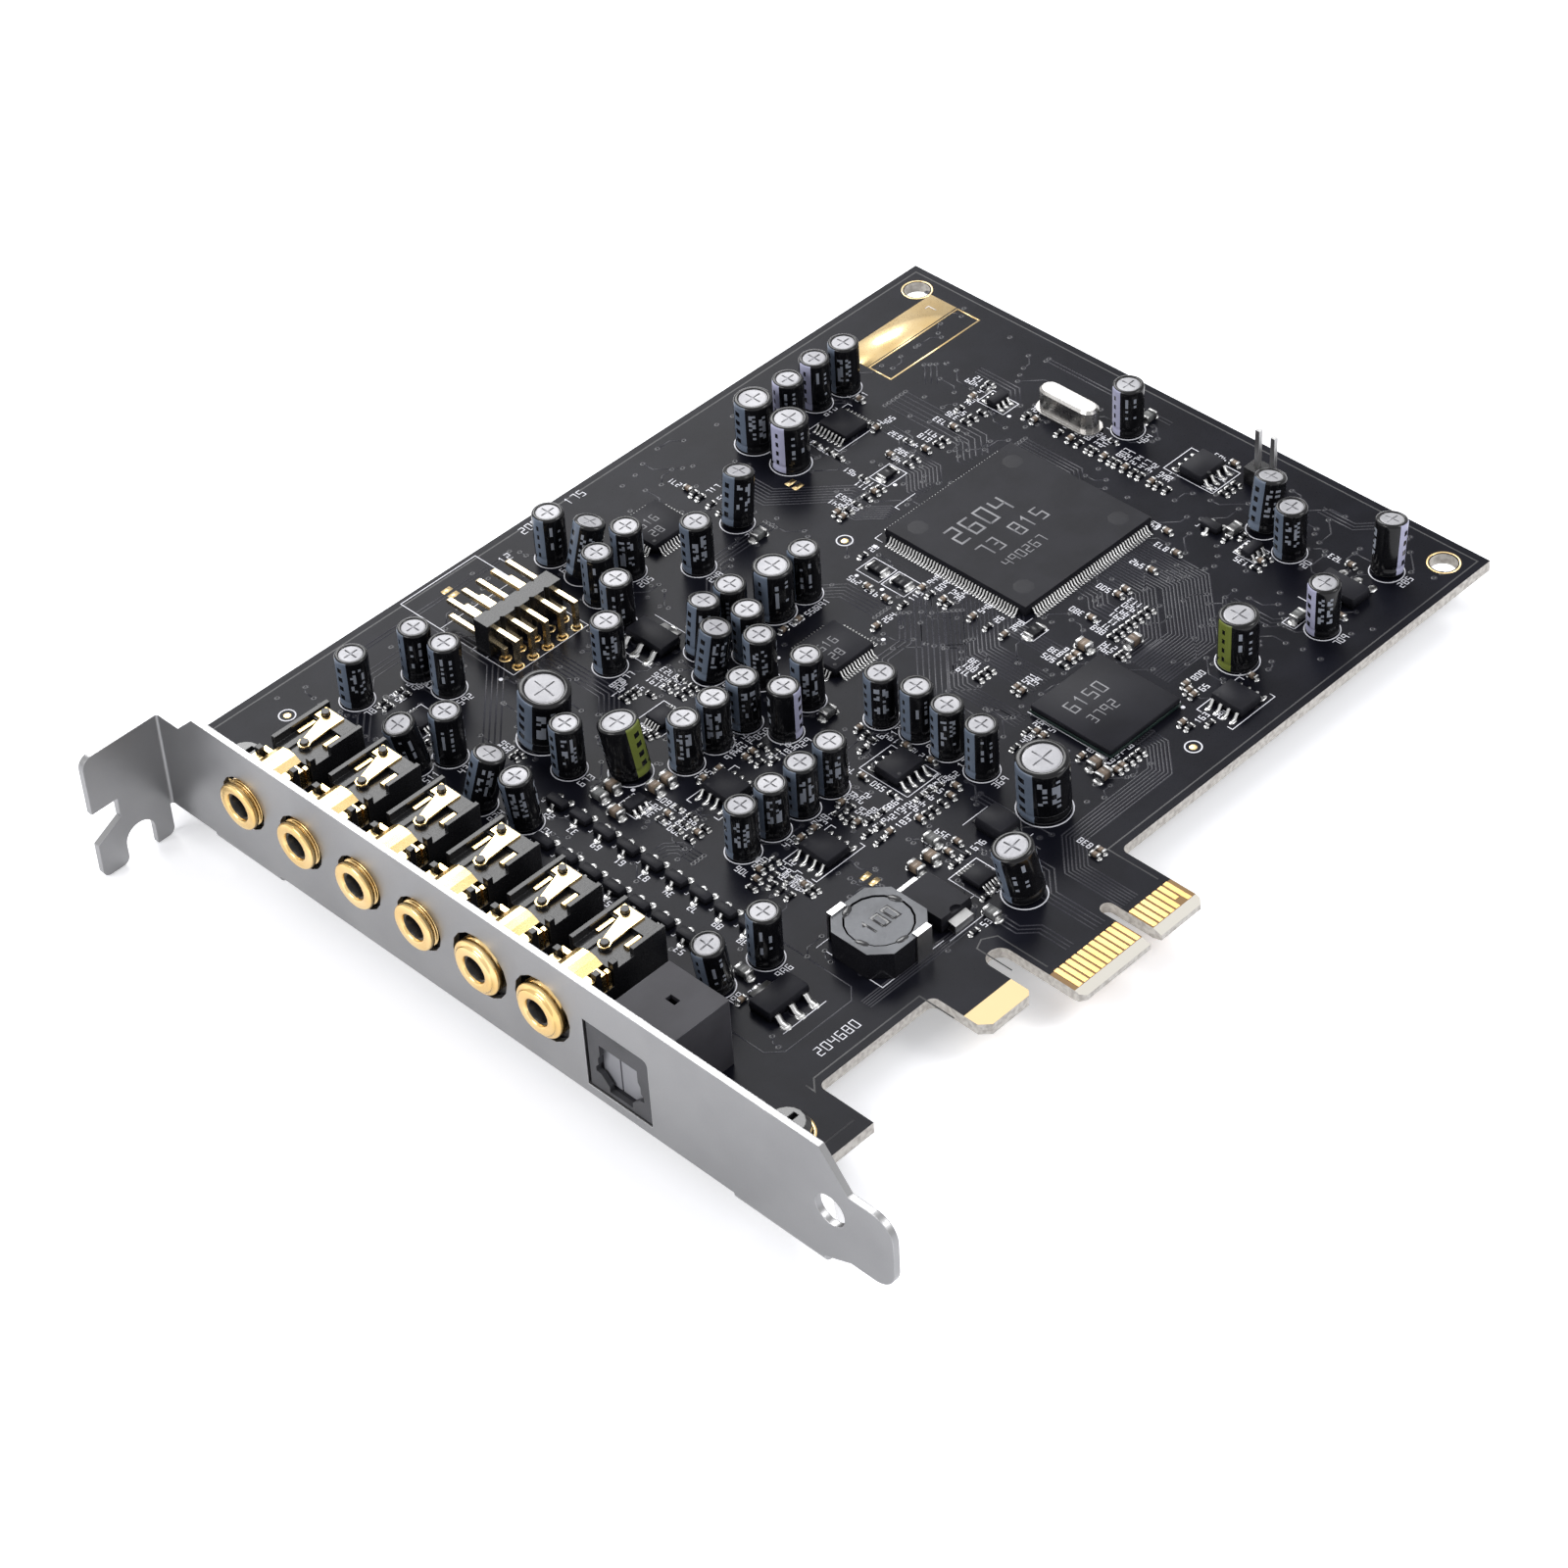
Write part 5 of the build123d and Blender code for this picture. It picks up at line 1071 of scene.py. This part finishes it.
# %% [markdown]
# ## Turned bushings
# The sockets' bushings are turned brass, gold plated: a ring with rounded corners, a groove and a
# barrel with a countersunk bore. The solids keep few faces, so here the same profile is turned in
# fine steps. The last two sockets have the plain, wider sleeve. A black liner closes each bore.

# %% Turned bushings
jack_axis_z, bushing_steps = 7.6, 56
grooved_profile = [(-0.90, 1.80), (-1.05, 1.95), (-1.07, 2.05), (-1.07, 2.85), (-1.02, 3.0), (-0.90, 3.08),
                   (-0.78, 3.1), (-0.38, 3.1), (-0.30, 3.06), (-0.27, 3.0), (-0.27, 2.72), (0.12, 2.72),
                   (0.12, 3.0), (0.16, 3.07), (0.24, 3.1), (1.0, 3.1), (1.0, 2.5), (7.8, 2.5), (7.8, 1.80)]
plain_profile = [(-0.90, 1.80), (-1.05, 1.95), (-1.07, 2.05), (-1.07, 2.80), (-1.03, 2.93), (-0.94, 3.0),
                 (-0.68, 3.0), (-0.68, 3.42), (-0.64, 3.54), (-0.54, 3.6), (1.0, 3.6), (1.0, 2.5), (7.8, 2.5),
                 (7.8, 1.80)]
liner_profile = [(-0.72, 1.795), (-0.72, 1.62), (-0.60, 1.5), (7.7, 1.5), (7.7, 1.795)]


def socket_ring(profile, row):
    """A closed profile of (x, radius) turned round the axis of the socket at y = row."""
    rings, faces = turned_profile([(radius, x) for x, radius in profile], bushing_steps, closed=True)
    return rings[:, [2, 0, 1]] + (0, row, jack_axis_z), faces


for number, row in enumerate(jack_rows, 1):
    bushing = socket_ring(grooved_profile if number < 5 else plain_profile, row)
    made = card_piece(f"turned_bushing_{number}", bushing, gold)
    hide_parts(f"jack_bushing_{number}")
liner_rings = [socket_ring(liner_profile, row) for row in jack_rows]
liners = gather([(points, faces[:, ::-1]) for points, faces in liner_rings])
card_piece("socket_liners", liners, black_plastic)
print("bushings:", len(jack_rows))

# %% [markdown]
# ## White print
# The board's white print is ink a hundredth of a millimetre thick: rings round the cans, boxes round
# the chips, polarity lines, dots and small plain numbers. Lines are thin ribbons along their route. A
# digit is one or two strokes between ten lettered points of a small grid.

# %% White print
print_level, print_rise = 0.036, 0.010
white_ink = finish("white_ink", (0.72, 0.72, 0.76), (0.80, 0.80, 0.84), 0.8, 0.55, bump=0.001,
                   edge_mm=0.02, wear=0.1)
digit_step = 1.7
grid_points = dict(zip("abcdefghij", (
    (0, 2), (1, 2), (0, 1), (1, 1), (0, 0), (1, 0), (0.2, 1), (0.5, 0), (0.5, 2), (0.1, 1.6))))
strokes = {"0": "efbae", "1": "hij", "2": "abdcef", "3": "abfe gd", "4": "acd bf", "5": "bacdfe",
           "6": "baefdc", "7": "abf", "8": "efbae cd", "9": "fbacd"}


def number_routes(text, x, y, height, turned_up=False):
    """Routes of plain digits from x, y, along X or, turned up, along Y."""
    made = []
    for place, digit in enumerate(text):
        for stroke in strokes.get(digit, "").split():
            corners = np.array([grid_points[point] for point in stroke], float)
            route = (corners + (place * digit_step, 0)) * height / 2
            if turned_up:
                route = np.column_stack([-route[:, 1], route[:, 0]])
            made.append(route + (x, y))
    return made


def box_routes(x0, x1, y0, y1, gap_sides=False):
    """A printed box, or only its corners and long sides where leads pass the other two."""
    if not gap_sides:
        return [np.array([(x0, y0), (x1, y0), (x1, y1), (x0, y1), (x0, y0)], float)]
    return [np.array([(x0, y0 + 0.8), (x0, y0), (x1, y0), (x1, y0 + 0.8)], float),
            np.array([(x0, y1 - 0.8), (x0, y1), (x1, y1), (x1, y1 - 0.8)], float)]


print_routes = []
for box in ((40.4, 48.6, 30.4, 35.9, True), (40.4, 48.6, 46.5, 51.9, True), (58.1, 63.7, 32.4, 40.3),
            (92.8, 100.8, 11.3, 16.9, True), (126.3, 131.9, 42.5, 50.7), (101.4, 109.6, 85.0, 91.2, True),
            (121.2, 124.3, 74.0, 78.6), (100.0, 103.8, 75.1, 78.2), (85.1, 88.4, 62.5, 66.4),
            (85.1, 88.4, 58.2, 62.1), (42.4, 55.2, 84.3, 105.2), (89.3, 92.2, 40.3, 42.3),
            (118.9, 121.9, 29.4, 32.9), (34.0, 37.0, 54.0, 57.5), (26.9, 31.1, 84.0, 88.9),
            (50.9, 55.7, 14.1, 19.2), (46.3, 51.3, 62.3, 66.8), (112.2, 115.8, 17.6, 19.5)):
    print_routes += box_routes(*box)
print_routes += [np.array(route, float) for route in (
    [(42.4, 97.8), (55.2, 97.8)], [(42.4, 91.8), (43.6, 91.8)], [(42.4, 89.3), (55.2, 89.3)],
    [(32.8, 21.5), (32.8, 12.7), (35.7, 12.7)], [(40, 12.7), (43, 12.7)], [(32.4, 22.8), (35.4, 22.8)],
    [(43.4, 12.1), (49.8, 12.1)], [(45, 15.1), (51, 15.1)], [(43.2, 22.2), (49.4, 22.2)],
    [(79, 19.3), (79, 32)], [(78.4, 19.3), (92.6, 19.3)], [(92.6, 19.3), (92.6, 31.4)],
    [(58.8, 24.2), (63.2, 24.2)], [(58.8, 17.0), (63.2, 17.0)], [(54.6, 72.4), (54.6, 79.4)],
    [(62.1, 72.4), (62.1, 79.4)], [(20.0, 16.0), (27.0, 16.0)], [(117.4, 13.9), (117.4, 21.2)],
    [(97.6, 70.6), (97.6, 71.4), (101.4, 71.4)], [(125.4, 62.0), (125.4, 72.2)],
    [(128.0, 61.0), (128.0, 61.9)],
)]
for x, y in transistor_spots:
    print_routes.append(np.array([(x - 0.8, y + 2.0), (x - 0.8, y + 1.7), (x + 0.9, y + 1.7)]))
for side_x, side_y in ((91.3, 43.3), (117.1, 43.3), (117.1, 69.0), (91.3, 69.0)):
    inward_x, inward_y = np.sign(main_x - side_x) * 1.3, np.sign(main_y - side_y) * 1.3
    corner = [(side_x + inward_x, side_y), (side_x, side_y), (side_x, side_y + inward_y)]
    print_routes.append(np.array(corner))
digit_draw = np.random.default_rng(21)
for x, y, turn in resistors + capacitors:
    if digit_draw.random() < 0.85:
        text = str(digit_draw.integers(1, 999))
        if turn:
            print_routes += number_routes(text, x + 0.35, y + 1.45, 0.85, turned_up=True)
        else:
            print_routes += number_routes(text, x + 1.5, y - 0.4, 0.85)
for x, y, _, _ in signal_cans + supply_cans:
    text = str(digit_draw.integers(10, 999))
    print_routes += number_routes(text, x - 1.2, y - 3.5, 0.95)
for x, y in transistor_spots[:-1]:
    print_routes += number_routes(str(digit_draw.integers(10, 99)), x - 1.6, y - 1.2, 0.85, turned_up=True)
for text, x, y, height in (("40", 125.4, 63.0, 1.1), ("12", 56.6, 101.3, 1.2), ("208", 62.4, 103.6, 1.3),
                           ("175", 70.5, 103.6, 1.3), ("36", 94.0, 60.0, 1.0), ("44", 94.0, 55.0, 1.0),
                           ("204680", 20.4, 10.4, 1.35), ("7", 132.0, 96.6, 1.4)):
    print_routes += number_routes(text, x, y, height)
white_lines = gather([ribbon(route, 0.062, 0.052, print_rise, print_level) for route in print_routes])
card_piece("white_print", white_lines, white_ink)


def ring_piece(name, inner, outer, places, paint, level=print_level, rise=print_rise, steps=32):
    """The same low ring at many x, y: a closed profile of four points turned round."""
    profile = [(outer, level), (outer, level + rise), (inner, level + rise), (inner, level)]
    ring = turned_profile(profile, steps, closed=True)
    return card_piece(name, copies(ring, flat_places(places)), paint)


ring_piece("small_can_rings", 2.16, 2.34, signal_cans + supply_cans, white_ink)
ring_piece("medium_can_rings", 2.66, 2.86, medium_cans, white_ink)
ring_piece("large_can_rings", 3.36, 3.56, large_cans, white_ink)
dots = [(90.1, 67.8), (77.4, 54.5), (92.0, 18.4), (121.5, 73.2), (37.4, 58.0), (40.8, 84.9), (84.3, 65.6),
        (84.4, 61.3), (101.0, 74.6), (68.4, 95.6), (66.3, 61.9)]
print_dots = copies(mound(0.55, 0.55, 0.012), [(x, y, print_level, 0) for x, y in dots])
card_piece("white_dots", print_dots, white_ink)
print("print routes:", len(print_routes))

# %% [markdown]
# ## Gold on the board
# Bare copper on the board is gold plated too: the aiming marks for the placing machine, the empty
# pads and holes of unused parts, the rings under the bracket's screws and one plain panel in the far
# corner.

# %% Gold on the board
pads = [((x - 0.75, y), (x + 0.75, y), 0.4) for x, y in (
    (48.1, 102.8), (48.1, 101.5), (44.9, 26.8), (44.9, 25.4), (92.5, 85.2), (92.5, 83.9))]
pads += [((117.2, 97.25), (134.9, 97.25), 2.35)]
panel = [((117.2, 94.6), (134.9, 94.6), 0.12), ((117.2, 90.6), (134.9, 90.6), 0.12),
         ((117.3, 90.6), (117.3, 94.6), 0.12), ((134.8, 90.6), (134.8, 94.6), 0.12)]
gold_rise = 0.045
flat_gold = metal("flat_gold", (0.78, 0.56, 0.26), (0.86, 0.66, 0.36), (1.0, 0.88, 0.6), 0.3,
                  spread=0.2, bump=0.001, edge_mm=0.04, wear=0.2)
bars = [ribbon([start, end], half, half - 0.02, gold_rise) for start, end, half in pads + panel]
card_piece("gold_pads", gather(bars), flat_gold)
marks = [(18.8, 99.8), (88.4, 71.6), (87.3, 12.8)]
card_piece("gold_marks", copies(mound(0.95, 0.95, gold_rise), flat_places(marks)), flat_gold)
ring_piece("mark_rings", 0.95, 1.15, marks, white_ink)
screw_spots, corner_holes = [(9.5, 96.6), (9.5, 5.1)], [(134.5, 11.7), (134.5, 101.8)]
ring_piece("screw_rings", 2.8, 3.25, screw_spots, flat_gold, 0.0, gold_rise, 48)
ring_piece("hole_rings", 1.95, 2.2, corner_holes, flat_gold, 0.0, gold_rise, 48)
ring_piece("header_rings", 0.5, 0.85, header_holes, flat_gold, 0.0, gold_rise, 20)
print("gold pads:", len(pads))

# %% [markdown]
# ## Marks on the chips
# Each chip shows its first lead by a small round dimple in the mould. The coil carries a plain number,
# and resin holds its drum in the shell.

# %% Marks on the chips
def dimples(name, size, places):
    """Shallow discs on the tops of chips: x, y and height."""
    discs = copies(mound(size, size, 0.012), [(x, y, z, 0) for x, y, z in places])
    return card_piece(name, discs, dimple_paint)


dimple_paint = finish("mould_dimple", (0.010, 0.010, 0.013), (0.014, 0.014, 0.018), 0.15, 0.42,
                      bump=0.001, edge_mm=0.03, wear=0.2, specular=0.13)
dimples("large_dimples", 2.6, [(x, y, 1.5) for x in (95.2, 113.2) for y in (47.1, 65.1)])
dimples("small_dimples", 0.5, [(68.9, 54.6, 1.4), (71.3, 88.7, 1.4), (128.0, 44.5, 1.5), (95.3, 15.6, 1.5),
                               (59.4, 34.9, 1.5), (43.0, 34.7, 1.5), (43.0, 50.8, 1.5), (103.9, 89.9, 1.0)])
resin = finish("black_resin", (0.012, 0.012, 0.014), (0.018, 0.018, 0.02), 0.2, 0.2, bump=0.01,
               edge_mm=0.1, wear=0.1)
coil_x, coil_y, drum_radius = 37.6, 17.6, 4.1
resin_spots = [(coil_x + drum_radius * math.cos(t), coil_y + drum_radius * math.sin(t), 3.75,
                math.degrees(t) + 90) for t in (0.3, 1.9, 3.4, 4.6)]
card_piece("resin_blobs", copies(mound(2.2, 1.0, 0.33), resin_spots), resin, smooth=True)
coil_digits = [ribbon(route, 0.18, 0.16, 0.02, 3.9) for route in number_routes("100", 35.6, 16.6, 2.0)]
card_piece("coil_number", gather(coil_digits), resin)
chip_ink = finish("chip_ink", (0.16, 0.16, 0.17), (0.20, 0.20, 0.21), 0.3, 0.5, bump=0.001,
                  edge_mm=0.03, wear=0.1)
chip_numbers = [
    ("2604", 96.4, 58.6, 3.2, 1.5), ("73 815", 96.6, 54.2, 2.4, 1.5), ("490267", 97.0, 51.0, 1.5, 1.5),
    ("6150", 81.4, 26.4, 2.0, 1.45), ("3792", 81.6, 23.4, 1.5, 1.45), ("516", 69.6, 57.4, 1.3, 1.4),
    ("28", 69.6, 55.2, 1.3, 1.4), ("516", 72.0, 91.5, 1.3, 1.4), ("28", 72.0, 89.3, 1.3, 1.4)]
ink = [ribbon(route, 0.05 * tall, 0.045 * tall, 0.010, level)
       for text, x, y, tall, level in chip_numbers for route in number_routes(text, x, y, tall)]
card_piece("chip_numbers", gather(ink), chip_ink)
print("chip numbers:", len(chip_numbers))
